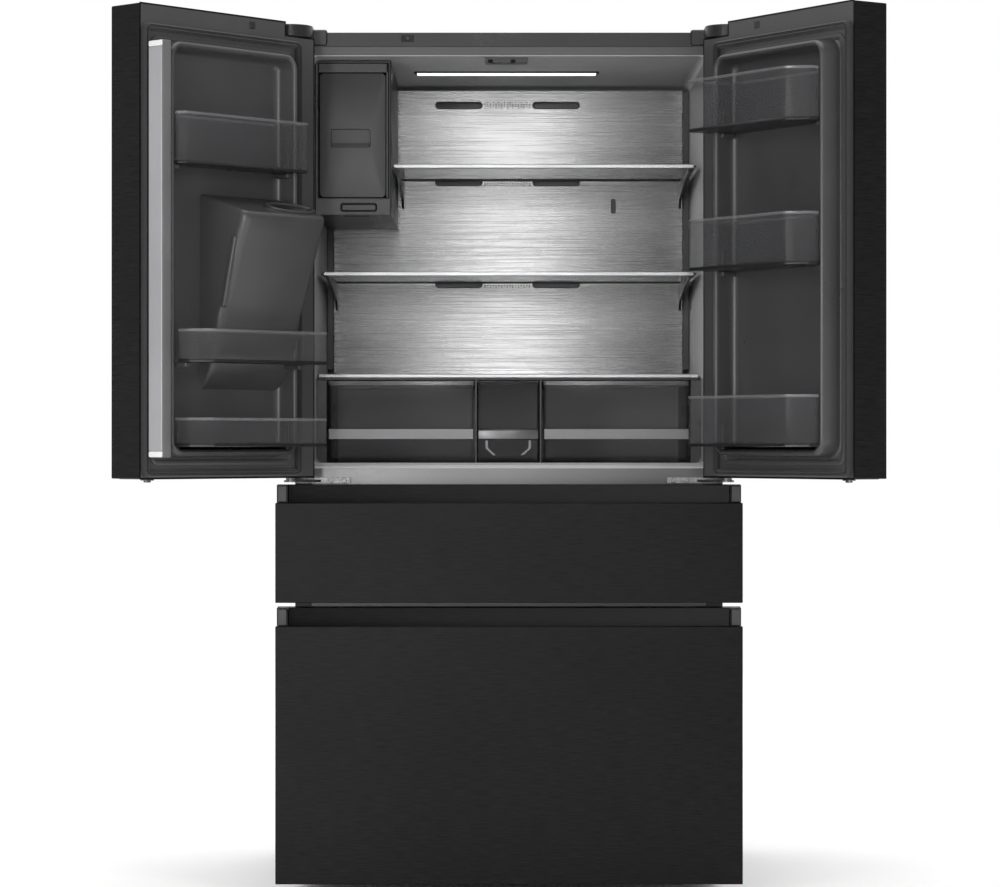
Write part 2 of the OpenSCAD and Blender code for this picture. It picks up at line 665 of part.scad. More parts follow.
// Housing of the dispenser recess, with the ice passage's mouth at the back
module dispenser_recess() color([0.06, 0.06, 0.07]) on_left_door() difference() {
    intersection() {
        recess_space(recess_t);
        span([-front_half, 0], [front_y, chute_y + 10], [recess_z[0] - 10, recess_z[1] + 10]);
    }
    recess_space(0);
    ice_passage();
    translate([paddle_pos[0] - rod_l, paddle_pos[1], paddle_pos[2]]) rotate([0, 90, 0])
        cylinder(r = rod_r + fit, h = 2 * rod_l);
}
module dispenser_panel() color([0.03, 0.03, 0.04]) on_left_door()
    face_plate([recess_u[0] - front_half - 4, recess_u[1] - front_half + 4],
        [front_y - 2, front_y - 0.1], [recess_z[1] + 4, recess_z[1] + 84], 5);
module drip_tray() color([0.25, 0.25, 0.26]) on_left_door() difference() {
    x = [recess_u[0] - front_half + 8, recess_u[1] - front_half - 8];
    span(x, [front_y + 3, recess_y - 3], [recess_z[0] + clear, recess_z[0] + tray_h]);
    span([x[0] + 3, x[1] - 3], [front_y + 6, recess_y - 6], [recess_z[0] + 3, recess_z[0] + tray_h - 3]);
    for (i = [0:12]) span([x[0] + 10 + i * 12, x[0] + 16 + i * 12], [front_y + 10, recess_y - 10],
        [recess_z[0] + tray_h - 4, recess_z[0] + tray_h + 1]);
}
// Lever that a glass pushes, on a rod held in the recess walls
module dispenser_paddle() color([0.10, 0.10, 0.11]) on_left_door() translate(paddle_pos) {
    translate([-rod_l / 2, 0, 0]) rotate([0, 90, 0]) cylinder(r = rod_r, h = rod_l);
    span([-paddle_w / 2, paddle_w / 2], [-2, 2], [-110, 0]);
    span([-paddle_w / 2, paddle_w / 2], [-7, 2], [-116, -110]);
}

module left_bin_upper() color([0.5, 0.5, 0.52, 0.5]) on_left_door() door_bin(left_bins[2]);
module left_bin_middle() color([0.5, 0.5, 0.52, 0.5]) on_left_door() door_bin(left_bins[1]);
module left_bin_lower() color([0.5, 0.5, 0.52, 0.5]) on_left_door() door_bin(left_bins[0]);

// Bar that bridges the gap between the closed doors, drawn folded
module flip_mullion() color([0.66, 0.66, 0.66]) on_left_door() difference() {
    span([mullion_fold_x - mullion_t, mullion_fold_x], [mullion_gap, mullion_gap + mullion_w], mullion_z);
    for (z = [mullion_z[0] - 1, mullion_z[1] - mullion_pin_l])
        translate([mullion_pin_x, mullion_pin_y, z]) cylinder(r = mullion_pin_r + fit, h = mullion_pin_l + 1);
}

// ---- Right door ----

module right_door_shell() color([0.12, 0.12, 0.13]) on_right_door() door_shell();
module right_door_core() color([0.93, 0.88, 0.70]) on_right_door() door_core();
module right_door_liner() color([0.42, 0.42, 0.43]) on_right_door() door_liner(right_bins);
module right_door_gasket() color([0.22, 0.22, 0.22]) on_right_door() door_gasket();
module right_bin_upper() color([0.5, 0.5, 0.52, 0.5]) on_right_door() door_bin(right_bins[2]);
module right_bin_middle() color([0.5, 0.5, 0.52, 0.5]) on_right_door() door_bin(right_bins[1]);
module right_bin_lower() color([0.5, 0.5, 0.52, 0.5]) on_right_door() door_bin(right_bins[0]);

// ---- Drawers ----

grip_lip = 8;
grip_y = -50;
grip_deep = 25;
grip_t = 2;

// Finger channel behind the front's top edge, grown by a margin
module grip_channel(z, grow)
    span([-front_half + grip_cap_w - grow, front_half - grip_cap_w + grow],
        [front_y + grip_lip - grow, grip_y + grow], [z[1] - grip_h - grip_deep - grow, z[1] + 1]);

// The front's block with the step and the channel cut out, drawn in by a margin
module front_block(z, inset) difference() {
    span([-front_half + inset, front_half - inset], [front_y + inset, inner_y + inset],
        [z[0] + inset, z[1] - inset]);
    span([-front_half - 1, front_half + 1], [front_y - 1, grip_y + grip_t + 0.2 + inset],
        [z[1] - grip_h - inset, z[1] + 1]);
    grip_channel(z, grip_t + 0.2 + inset);
}
module drawer_front(z) difference() {
    front_block(z, 0);
    front_block(z, sheet);
}

// Lining of the finger channel with solid caps at both ends
module drawer_grip(z) difference() {
    union() {
        span([-front_half + 0.5, front_half - 0.5], [front_y + 6, grip_y + grip_t],
            [z[1] - grip_h + 0.2, z[1]]);
        intersection() {
            grip_channel(z, grip_t);
            span([-front_half, front_half], [front_y, grip_y + grip_t], [z[0], z[1] - grip_h + 0.3]);
        }
    }
    grip_channel(z, 0);
    span([-front_half + grip_cap_w, front_half - grip_cap_w], [front_y - 1, grip_y],
        [z[1] - grip_h + 1, z[1] + 1]);
}

// Tub with the moving halves of its slides, on the inner panel that closes the front
module drawer_tub(z, back, rail_z, front_z) {
    span([-front_half + 1.5, front_half - 1.5], [inner_y - panel_t, inner_y],
        [front_z[0] + 1.5, front_z[1] - 1.5]);
    tub([-tub_x, tub_x], [inner_y - 0.1, back], z, tub_t);
    both_sides() span([tub_x - 0.5, tub_x + 13], [inner_y - 0.1, back - 10], [rail_z, rail_z + rail_h]);
}

module drawer_gasket(z) face_ring([-416, 416], [inner_y, -clear], z, gasket_w);

module upper_drawer_front() color([0.11, 0.11, 0.12]) at_front() drawer_front(upper_front_z);
module upper_drawer_grip() color([0.20, 0.20, 0.21]) at_front() drawer_grip(upper_front_z);
module upper_drawer_tub() color([0.80, 0.82, 0.84]) at_front()
    drawer_tub(upper_tub_z, upper_tub_back, 650, upper_front_z);
module upper_drawer_gasket() color([0.20, 0.20, 0.20]) at_front() drawer_gasket([576, 796]);

module lower_drawer_front() color([0.11, 0.11, 0.12]) at_front() drawer_front(lower_front_z);
module lower_drawer_grip() color([0.20, 0.20, 0.21]) at_front() drawer_grip(lower_front_z);
module lower_drawer_tub() color([0.80, 0.82, 0.84]) at_front()
    drawer_tub(lower_tub_z, lower_tub_back, 300, lower_front_z);
module lower_drawer_gasket() color([0.20, 0.20, 0.20]) at_front() drawer_gasket([57, 558]);

// Shallow basket that slides on the lower tub's rim
module freezer_basket() color([0.78, 0.80, 0.82]) at_front() difference() {
    rim = lower_tub_z[1] + clear;
    union() {
        tub([-tub_x + 8, tub_x - 8], [2, 222], [rim - 70, rim + 30], 3);
        both_sides() span([tub_x - 9, tub_x + 4], [2, 222], [rim, rim + 4]);
    }
    for (x = [-320:40:300]) span([x, x + 24], [-5, 230], [rim - 50, rim - 20]);
}

// ---- Crispers, water tank and ice bucket ----

module crisper(x) difference() {
    union() {
        span(x, [crisper_y, crisper_y + crisper_d], crisper_z);
        span([x[0], x[1]], [crisper_y - 2, crisper_y + 1], [crisper_z[1] - 8, crisper_z[1]]);
    }
    span([x[0] + crisper_t, x[1] - crisper_t], [crisper_y + crisper_t, crisper_y + crisper_d - crisper_t],
        [crisper_z[0] + crisper_t, crisper_z[1] + 1]);
}
module crisper_trim(x) difference() {
    span([x[0] + 1, x[1] - 1], [crisper_y - handle_t, crisper_y], handle_z);
    span([x[0] + 3, x[1] - 3], [crisper_y - handle_t + 1.5, crisper_y - 2], [handle_z[0] - 1, handle_z[1] - 2]);
}
module crisper_left() color([0.2, 0.2, 0.22, 0.5]) at_front() crisper([-crisper_x[1], -crisper_x[0]]);
module crisper_left_trim() color([0.62, 0.62, 0.62]) at_front()
    crisper_trim([-crisper_x[1], -crisper_x[0]]);
module crisper_right() color([0.2, 0.2, 0.22, 0.5]) at_front() crisper(crisper_x);
module crisper_right_trim() color([0.62, 0.62, 0.62]) at_front() crisper_trim(crisper_x);

// Tank with a filling mouth in its lid and a grip strip
module water_tank() color([0.15, 0.15, 0.17, 0.6]) at_front() difference() {
    union() {
        span(tank_x, [crisper_y + 2, crisper_y + 360], crisper_z);
        span([tank_x[0] + 1, tank_x[1] - 1], [crisper_y - 6, crisper_y + 2], handle_z);
    }
    span([tank_x[0] + 3, tank_x[1] - 3], [crisper_y + 5, crisper_y + 357],
        [crisper_z[0] + 3, crisper_z[1] - 4]);
    translate([-1, crisper_y + 60, crisper_z[1] - 5]) cylinder(r = 26, h = 6);
    span([tank_x[0] + 3, tank_x[1] - 3], [crisper_y - 4.5, crisper_y], [handle_z[0] - 1, handle_z[1] - 2]);
}

// Ice bucket with its front panel, pull and outlet
module ice_bucket() color([0.16, 0.16, 0.17]) at_front() difference() {
    union() {
        face_plate(ice_front_x, [ice_box_y[0] + 0.2, ice_box_y[0] + ice_front_t], ice_front_z, 6);
        span(bucket_x, [ice_box_y[0] + ice_front_t - 0.1, ice_box_y[0] + bucket_d], bucket_z);
        span([-360, -272], [ice_box_y[0] + 1, ice_box_y[0] + pull_d + 2], [1467, 1515]);
    }
    difference() {
        span([bucket_x[0] + 3, bucket_x[1] - 3],
            [ice_box_y[0] + ice_front_t + 3, ice_box_y[0] + bucket_d - 3], [bucket_z[0] + 3, bucket_z[1] + 1]);
        span([-360, -272], [ice_box_y[0] + 1, ice_box_y[0] + pull_d + 2], [1467, 1515]);
    }
    translate([0, ice_box_y[0] + pull_d, 0]) rotate([90, 0, 0]) linear_extrude(pull_d + 1)
        polygon([[-355, 1510], [-277, 1510], [-286, 1472], [-346, 1472]]);
    span([-330, -282], [80, 112], [bucket_z[0] - 1, bucket_z[0] + 4]);
}

cabinet_shell();
insulation();
fridge_liner();
drawer_liners();
top_trim();
cross_rails();
duct_panel();
ceiling_light();
mullion_guide();
ice_housing();
ice_maker();
shelf_glass();
shelf_trims();
shelf_brackets();
ladder_rails();
crisper_frame();
hinge_brackets();
base_frame();
levelling_feet();
rear_cover();
compressor();
condenser();
evaporator();
power_inlet();
drawer_rails();
left_door_shell();
left_door_core();
left_door_liner();
left_door_gasket();
dispenser_recess();
dispenser_panel();
drip_tray();
dispenser_paddle();
left_bin_upper();
left_bin_middle();
left_bin_lower();
flip_mullion();
right_door_shell();
right_door_core();
right_door_liner();
right_door_gasket();
right_bin_upper();
right_bin_middle();
right_bin_lower();
upper_drawer_front();
upper_drawer_grip();
upper_drawer_tub();
upper_drawer_gasket();
lower_drawer_front();
lower_drawer_grip();
lower_drawer_tub();
lower_drawer_gasket();
freezer_basket();
crisper_left();
crisper_left_trim();
crisper_right();
crisper_right_trim();
water_tank();
ice_bucket();
condenser_fan();
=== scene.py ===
"""Looks of the french door refrigerator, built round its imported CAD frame.

Shapes are given in millimetres in the places below, and a placing matrix turns them into the
row frame in metres. FRONT starts at the cabinet's front face, and a door's own place counts
across from the hinge side, out from the inner face and up.
"""
import json
import math

import bmesh
import bpy
from mathutils import Matrix, Vector


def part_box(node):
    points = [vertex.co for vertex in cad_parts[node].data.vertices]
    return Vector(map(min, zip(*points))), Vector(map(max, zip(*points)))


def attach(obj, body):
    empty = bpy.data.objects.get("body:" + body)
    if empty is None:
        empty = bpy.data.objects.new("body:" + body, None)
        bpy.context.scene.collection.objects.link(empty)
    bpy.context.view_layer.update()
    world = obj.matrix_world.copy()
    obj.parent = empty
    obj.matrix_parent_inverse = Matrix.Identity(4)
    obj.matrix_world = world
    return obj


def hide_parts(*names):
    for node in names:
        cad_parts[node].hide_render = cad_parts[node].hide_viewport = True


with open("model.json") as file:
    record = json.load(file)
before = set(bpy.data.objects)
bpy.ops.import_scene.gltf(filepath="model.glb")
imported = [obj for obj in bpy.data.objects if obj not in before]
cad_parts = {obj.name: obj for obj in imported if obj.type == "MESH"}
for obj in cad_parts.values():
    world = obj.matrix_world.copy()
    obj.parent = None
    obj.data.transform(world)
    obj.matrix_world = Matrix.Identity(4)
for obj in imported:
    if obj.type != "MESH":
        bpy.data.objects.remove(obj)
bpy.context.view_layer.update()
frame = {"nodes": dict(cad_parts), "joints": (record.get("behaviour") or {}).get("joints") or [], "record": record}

MM = 0.001
NODES = frame["nodes"]
JOINTS = {j["name"]: j for j in frame["joints"]}

# ---- Places ----

shell_low, shell_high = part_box("cabinet_shell")
FRONT = Matrix.Translation((0, shell_low.y, 0)) @ Matrix.Scale(MM, 4)


def local_box(node, place):
    """Lowest and highest corners of a CAD node in a place's own millimetres."""
    back = place.inverted()
    points = [back @ v.co for v in NODES[node].data.vertices]
    return Vector(map(min, zip(*points))), Vector(map(max, zip(*points)))


drawer_low, drawer_high = local_box("upper_drawer_front", FRONT)
FRONT_HALF = drawer_high.x
INNER_Y = drawer_high.y


def door_place(joint, side):
    """Place of an open door: side is -1 for the left one and 1 for the right one."""
    pin = Vector(JOINTS[joint]["pos_m"])
    turn = Matrix.Rotation(math.radians(-side * JOINTS[joint]["range_deg"][0]), 4, "Z")
    closed = FRONT @ Matrix.Diagonal((-side, 1, 1, 1)) @ Matrix.Translation((-FRONT_HALF, INNER_Y, 0))
    return Matrix.Translation(pin) @ turn @ Matrix.Translation(-pin) @ closed


LEFT = door_place("left_door_hinge", -1)
RIGHT = door_place("right_door_hinge", 1)

# ---- Materials ----


def principled(name, **sockets):
    """A material with its shader's sockets set, as (material, its nodes, its links, the shader)."""
    made = bpy.data.materials.new(name)
    made.use_nodes = True
    tree = made.node_tree
    shader = tree.nodes["Principled BSDF"]
    for socket, value in sockets.items():
        shader.inputs[socket.replace("_", " ")].default_value = value
    return made, tree.nodes, tree.links, shader


def noise(nodes, links, scale, stretch=(1, 1, 1), detail=4.0, roughness=0.6):
    """A noise texture in the object's own space, squeezed by stretch along each axis."""
    where = nodes.new("ShaderNodeTexCoord")
    mapping = nodes.new("ShaderNodeMapping")
    mapping.inputs["Scale"].default_value = stretch
    texture = nodes.new("ShaderNodeTexNoise")
    texture.inputs["Scale"].default_value = scale
    texture.inputs["Detail"].default_value = detail
    texture.inputs["Roughness"].default_value = roughness
    links.new(where.outputs["Object"], mapping.inputs["Vector"])
    links.new(mapping.outputs["Vector"], texture.inputs["Vector"])
    return texture.outputs["Fac"]


def cells(nodes, links, scale):
    """A cell texture in the object's own space."""
    where = nodes.new("ShaderNodeTexCoord")
    texture = nodes.new("ShaderNodeTexVoronoi")
    texture.inputs["Scale"].default_value = scale
    links.new(where.outputs["Object"], texture.inputs["Vector"])
    return texture.outputs["Distance"]


def spread(nodes, links, source, low, high, start=0.3, end=0.7):
    """A factor stretched over the range from low to high."""
    node = nodes.new("ShaderNodeMapRange")
    node.inputs["From Min"].default_value = start
    node.inputs["From Max"].default_value = end
    node.inputs["To Min"].default_value = low
    node.inputs["To Max"].default_value = high
    links.new(source, node.inputs["Value"])
    return node.outputs["Result"]


def shades(nodes, links, source, color, contrast, other=None, other_contrast=0.0):
    """A colour that a factor, and perhaps a second one, make darker and lighter."""
    node = nodes.new("ShaderNodeHueSaturation")
    node.inputs["Color"].default_value = (*color, 1)
    value = spread(nodes, links, source, 1 - contrast, 1 + contrast)
    if other is not None:
        both = nodes.new("ShaderNodeMath")
        both.operation = "MULTIPLY"
        links.new(value, both.inputs[0])
        links.new(spread(nodes, links, other, 1 - other_contrast, 1 + other_contrast), both.inputs[1])
        value = both.outputs["Value"]
    links.new(value, node.inputs["Value"])
    return node.outputs["Color"]


def relief(nodes, links, shader, source, strength, distance):
    """Fine relief on the shader's normal."""
    bump = nodes.new("ShaderNodeBump")
    bump.inputs["Strength"].default_value = strength
    bump.inputs["Distance"].default_value = distance
    links.new(source, bump.inputs["Height"])
    links.new(bump.outputs["Normal"], shader.inputs["Normal"])


def brushed(name, color, rough, contrast, metallic=1.0, grain=(5, 5, 520), cloud=0.08, strength=0.25,
            streak=0.4, turn=0.25):
    """Steel with a grain that runs level, as fine lines with soft clouds between them."""
    made, nodes, links, shader = principled(
        name, Metallic=metallic, Anisotropic=streak, Anisotropic_Rotation=turn, Specular_IOR_Level=0.3)
    fine = noise(nodes, links, 2.2, grain, detail=5.0, roughness=0.7)
    soft = noise(nodes, links, 2.4, (1, 1, 1.6), detail=2.0)
    links.new(shades(nodes, links, fine, color, contrast, soft, cloud), shader.inputs["Base Color"])
    links.new(spread(nodes, links, fine, rough - 0.07, rough + 0.08), shader.inputs["Roughness"])
    relief(nodes, links, shader, fine, strength, 0.0004)
    return made


def painted(name, color, rough, contrast=0.06, metallic=0.0, peel=420, strength=0.12):
    """Sprayed sheet with orange peel and faint clouds."""
    made, nodes, links, shader = principled(name, Metallic=metallic, Coat_Weight=0.15, Coat_Roughness=0.3)
    fine = noise(nodes, links, peel, detail=3.0)
    soft = noise(nodes, links, 3.0, detail=3.0)
    links.new(shades(nodes, links, soft, color, contrast, fine, 0.04), shader.inputs["Base Color"])
    links.new(spread(nodes, links, fine, rough - 0.05, rough + 0.07), shader.inputs["Roughness"])
    relief(nodes, links, shader, fine, strength, 0.0005)
    return made


def moulded(name, color, rough, contrast=0.08, texture=900, strength=0.18, coat=0.0):
    """Moulded plastic with a spark-eroded texture and soft flow clouds."""
    made, nodes, links, shader = principled(
        name, Specular_IOR_Level=0.45, Coat_Weight=coat, Coat_Roughness=0.25)
    fine = cells(nodes, links, texture)
    soft = noise(nodes, links, 6.0, detail=4.0)
    links.new(shades(nodes, links, soft, color, contrast, fine, 0.05), shader.inputs["Base Color"])
    links.new(spread(nodes, links, soft, rough - 0.05, rough + 0.06), shader.inputs["Roughness"])
    relief(nodes, links, shader, fine, strength, 0.0004)
    return made


def rubber(name, color, rough=0.72):
    """Soft seal rubber with a dusty bloom."""
    made, nodes, links, shader = principled(name, Specular_IOR_Level=0.35, Sheen_Weight=0.15)
    fine = noise(nodes, links, 700, detail=4.0)
    bloom = noise(nodes, links, 14, (1, 1, 0.5), detail=5.0)
    links.new(shades(nodes, links, bloom, color, 0.22, fine, 0.08), shader.inputs["Base Color"])
    links.new(spread(nodes, links, bloom, rough - 0.08, rough + 0.08), shader.inputs["Roughness"])
    relief(nodes, links, shader, fine, 0.2, 0.0004)
    return made


def plated(name, color, rough):
    """Zinc plate with a faint spangle."""
    made, nodes, links, shader = principled(name, Metallic=1.0)
    spangle = cells(nodes, links, 160)
    fine = noise(nodes, links, 60, (1, 1, 9), detail=4.0)
    links.new(shades(nodes, links, spangle, color, 0.14, fine, 0.08), shader.inputs["Base Color"])
    links.new(spread(nodes, links, fine, rough - 0.08, rough + 0.1), shader.inputs["Roughness"])
    relief(nodes, links, shader, fine, 0.1, 0.0003)
    return made


def clear(name, color, alpha, rough, contrast=0.1, gloss=0.5, coat=0.2):
    """Clear plastic or glass with faint flow lines and polish marks."""
    made, nodes, links, shader = principled(
        name, Alpha=alpha, IOR=1.5, Specular_IOR_Level=gloss, Coat_Weight=coat, Coat_Roughness=0.16)
    flow = noise(nodes, links, 5.0, (1, 1, 3), detail=3.0)
    fine = noise(nodes, links, 220, detail=2.0)
    links.new(shades(nodes, links, flow, color, contrast, fine, 0.03), shader.inputs["Base Color"])
    links.new(spread(nodes, links, flow, rough, rough + 0.06), shader.inputs["Roughness"])
    relief(nodes, links, shader, flow, 0.06, 0.001)
    return made


def lamp(name, color, strength):
    """Frosted lens that glows, with fine ribs along it."""
    made, nodes, links, shader = principled(name, Roughness=0.35, Emission_Strength=strength)
    ribs = noise(nodes, links, 2.0, (160, 4, 4), detail=1.0)
    links.new(shades(nodes, links, ribs, color, 0.06), shader.inputs["Base Color"])
    links.new(shades(nodes, links, ribs, color, 0.05), shader.inputs["Emission Color"])
    relief(nodes, links, shader, ribs, 0.2, 0.0004)
    return made


def foam(name, color):
    """Sprayed foam with open cells."""
    made, nodes, links, shader = principled(name, Roughness=0.9, Specular_IOR_Level=0.2)
    bubbles = cells(nodes, links, 260)
    soft = noise(nodes, links, 8.0)
    links.new(shades(nodes, links, bubbles, color, 0.12, soft, 0.1), shader.inputs["Base Color"])
    relief(nodes, links, shader, bubbles, 0.6, 0.002)
    return made


LOOKS = {
    "black_steel": brushed(
        "black_steel", (0.0095, 0.0095, 0.01), 0.40, 0.6, metallic=0.7, grain=(12, 12, 230), strength=0.5),
    "cabinet_steel": painted("cabinet_steel", (0.060, 0.060, 0.062), 0.5),
    "black_plastic": moulded("black_plastic", (0.012, 0.012, 0.013), 0.30),
    "grey_plastic": moulded("grey_plastic", (0.034, 0.034, 0.036), 0.40),
    "liner": moulded("liner", (0.275, 0.275, 0.278), 0.36, texture=500, strength=0.08, coat=0.1),
    "door_liner": moulded("door_liner", (0.046, 0.046, 0.048), 0.32, texture=500, strength=0.04, coat=0.1),
    "freezer_liner": moulded(
        "freezer_liner", (0.62, 0.63, 0.64), 0.38, contrast=0.04, texture=500, strength=0.08),
    "foam": foam("foam", (0.72, 0.62, 0.38)),
    "duct_steel": brushed(
        "duct_steel", (0.22, 0.22, 0.22), 0.25, 0.13, grain=(1.6, 1.6, 230), strength=0.12, streak=0.9),
    "trim_metal": brushed("trim_metal", (0.38, 0.38, 0.39), 0.30, 0.05, grain=(3, 3, 700), strength=0.1),
    "handle_metal": brushed("handle_metal", (0.13, 0.13, 0.133), 0.34, 0.06, grain=(3, 3, 700), strength=0.1),
    "sill_metal": painted("sill_metal", (0.150, 0.150, 0.153), 0.34, metallic=0.3),
    "hinge_steel": plated("hinge_steel", (0.20, 0.20, 0.207), 0.38),
    "shelf_glass": clear("shelf_glass", (0.075, 0.082, 0.082), 0.80, 0.04),
    "smoked_plastic": clear("smoked_plastic", (0.090, 0.090, 0.094), 0.17, 0.12, gloss=0.22, coat=0.0),
    "lens": lamp("lens", (0.95, 0.95, 0.92), 3.0),
    "gasket": rubber("gasket", (0.020, 0.020, 0.021)),
    "foot": rubber("foot", (0.03, 0.03, 0.03)),
    "base_steel": painted("base_steel", (0.05, 0.05, 0.05), 0.5),
    "coil": plated("coil", (0.55, 0.56, 0.57), 0.35),
    "compressor": painted("compressor", (0.015, 0.015, 0.015), 0.3),
    "panel_glass": clear("panel_glass", (0.006, 0.006, 0.007), 1.0, 0.06),
    "mullion": brushed(
        "mullion", (0.36, 0.36, 0.37), 0.35, 0.05, metallic=0.4, grain=(300, 300, 4), turn=0.0),
    "smoked_edge": clear("smoked_edge", (0.16, 0.16, 0.165), 0.55, 0.14),
    "white_plastic": moulded("white_plastic", (0.66, 0.66, 0.65), 0.4, contrast=0.04),
    # Painted shade: near-black for the deep part of the ice chute, the pierced holes, the screw pocket and the
    # band under each shelf's rear.
    "painted_shade": moulded("painted_shade", (0.006, 0.006, 0.006), 0.6, contrast=0.2),
    "vane_grey": moulded("vane_grey", (0.24, 0.24, 0.245), 0.4),
    "cap_grey": moulded("cap_grey", (0.030, 0.030, 0.031), 0.40),
    "bright_lip": moulded("bright_lip", (0.36, 0.36, 0.365), 0.32, contrast=0.05),
    "mullion_side": moulded("mullion_side", (0.115, 0.115, 0.118), 0.38),
}

# ---- Mesh tools ----


def rectangle(a, b):
    """Corners of a rectangle between pairs of limits, turning left."""
    return [(a[0], b[0]), (a[1], b[0]), (a[1], b[1]), (a[0], b[1])]


def inset(a, by):
    """Limits drawn in at both ends."""
    return (a[0] + by, a[1] - by)


def rounded(corners, radii, steps=6):
    """An outline with each corner turned into an arc of its own radius."""
    count = len(corners)
    radii = radii if isinstance(radii, (list, tuple)) else [radii] * count
    points = []
    for i, corner in enumerate(corners):
        here = Vector(corner)
        back = (Vector(corners[i - 1]) - here).normalized()
        ahead = (Vector(corners[(i + 1) % count]) - here).normalized()
        half = max(back.angle(ahead) / 2, 0.05)
        reach = radii[i] / math.tan(half)
        centre = here + (back + ahead).normalized() * (radii[i] / math.sin(half))
        start, end = here + back * reach - centre, here + ahead * reach - centre
        sweep = start.angle_signed(end) if radii[i] > 0 else 0.0
        for k in range(steps + 1):
            turned = start.copy()
            turned.rotate(Matrix.Rotation(-sweep * k / steps, 2))
            points.append(centre + turned)
    return points


def along(axis, outline, height):
    """3-D points of an outline that faces an axis, at a height along it."""
    p = {"x": (2, 0, 1), "y": (0, 2, 1), "z": (0, 1, 2)}[axis]
    return [Vector((q[0], q[1], height)[k] for k in p) for q in outline]


class Solid:
    """Closed shells in millimetres, gathered into one piece."""

    def __init__(self):
        self.points, self.faces, self.materials = [], [], []

    def loft(self, loops, ring=False, material=0, bands=None):
        """Joins loops of equally many points, as a ring or with a cap at each end."""
        start, count = len(self.points), len(loops[0])
        for loop in loops:
            self.points.extend(Vector(p) for p in loop)
        rows = len(loops)
        for r in range(rows if ring else rows - 1):
            a, b = start + r * count, start + ((r + 1) % rows) * count
            for i in range(count):
                j = (i + 1) % count
                self.faces.append((a + i, a + j, b + j, b + i))
                self.materials.append(bands.get(r, material) if bands else material)
        if not ring:
            last = start + (rows - 1) * count
            self.faces.append(tuple(reversed(range(start, start + count))))
            self.faces.append(tuple(range(last, last + count)))
            self.materials += [material, material]
        return self

    def slab(self, axis, a, b, c, radius=2.0, edge=0.8, steps=5, material=0):
        """A block with round corners round its axis and bevelled rims."""
        edge = min(edge, (c[1] - c[0]) * 0.45)
        loops = []
        for height, inward in ((c[0], edge), (c[0] + edge, 0), (c[1] - edge, 0), (c[1], edge)):
            corners = rectangle(inset(a, inward), inset(b, inward))
            outline = rounded(corners, max(radius - inward, 0.05), steps)
            loops.append(along(axis, outline, height))
        return self.loft(loops, material=material)

    def ring(self, axis, a, b, profile, radius, closed=True, steps=8, material=0, bands=None):
        """A profile of (inward, height) points carried round a rounded rectangle."""
        loops = []
        for inward, height, *own in profile:
            corners = rectangle(inset(a, inward), inset(b, inward))
            bend = own[0] if own else max(radius - inward, 0.4)
            loops.append(along(axis, rounded(corners, bend, steps), height))
        return self.loft(loops, ring=closed, material=material, bands=bands)

    def prism(self, axis, corners, c, radii=1.0, edge=0.6, steps=4, material=0):
        """A straight prism of a rounded outline with bevelled rims."""
        outline = rounded(corners, radii, steps)
        middle = sum(outline, Vector((0, 0))) / len(outline)
        size = max((p - middle).length for p in outline)
        shrunk = [middle + (p - middle) * (1 - edge / size) for p in outline]
        rows = ((c[0], shrunk), (c[0] + edge, outline), (c[1] - edge, outline), (c[1], shrunk))
        return self.loft([along(axis, o, h) for h, o in rows], material=material)

    def turned(self, centre, axis, profile, count=28, material=0):
        """A profile of (radius, height) points turned round an axis through centre."""
        angles = [2 * math.pi * k / count for k in range(count)]
        loops = []
        for radius, height in profile:
            circle = [(radius * math.cos(t), radius * math.sin(t)) for t in angles]
            loops.append([p + Vector(centre) for p in along(axis, circle, height)])
        return self.loft(loops, material=material)

    def make(self, name, place, body, slot, looks=None, stands_for=(), sharp=38):
        """Places the shells in the row frame as one piece that rides on a body."""
        mesh = bpy.data.meshes.new(name)
        mesh.from_pydata([place @ p for p in self.points], [], self.faces)
        mesh.polygons.foreach_set("material_index", self.materials)
        work = bmesh.new()
        work.from_mesh(mesh)
        bmesh.ops.remove_doubles(work, verts=work.verts, dist=1e-6)
        bmesh.ops.dissolve_degenerate(work, edges=work.edges, dist=1e-6)
        bmesh.ops.recalc_face_normals(work, faces=work.faces)
        work.to_mesh(mesh)
        work.free()
        mesh.shade_smooth()
        mesh.set_sharp_from_angle(angle=math.radians(sharp))
        for look in looks or (slot,):
            mesh.materials.append(LOOKS[look])
        piece = bpy.data.objects.new(name, mesh)
        bpy.context.scene.collection.objects.link(piece)
        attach(piece, body)
        if stands_for:
            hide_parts(*stands_for)
        return piece


def drawn_in(corners, radii, by):
    """An outline's corners and radii after its sides move inward."""
    count = len(corners)
    points, turns = [], []
    for i in range(count):
        a, b, c = (Vector(corners[(i + k) % count]) for k in (-1, 0, 1))
        d, e = (b - a).normalized(), (c - b).normalized()
        cross = d.x * e.y - d.y * e.x
        m, n = Vector((-d.y, d.x)), Vector((-e.y, e.x))
        points.append(b + (m + n) * (by / (1 + m.dot(n))))
        turns.append(max(radii[i] - by if cross > 0 else radii[i] + by, 0.3))
    return points, turns


def levels(axis, corners, radii, rows, steps=4):
    """Loops of an outline at (height, inward) rows along an axis."""
    loops = []
    for height, by in rows:
        points, turns = drawn_in(corners, radii, by)
        loops.append(along(axis, rounded(points, turns, steps), height))
    return loops


# ---- CAD nodes that stay ----

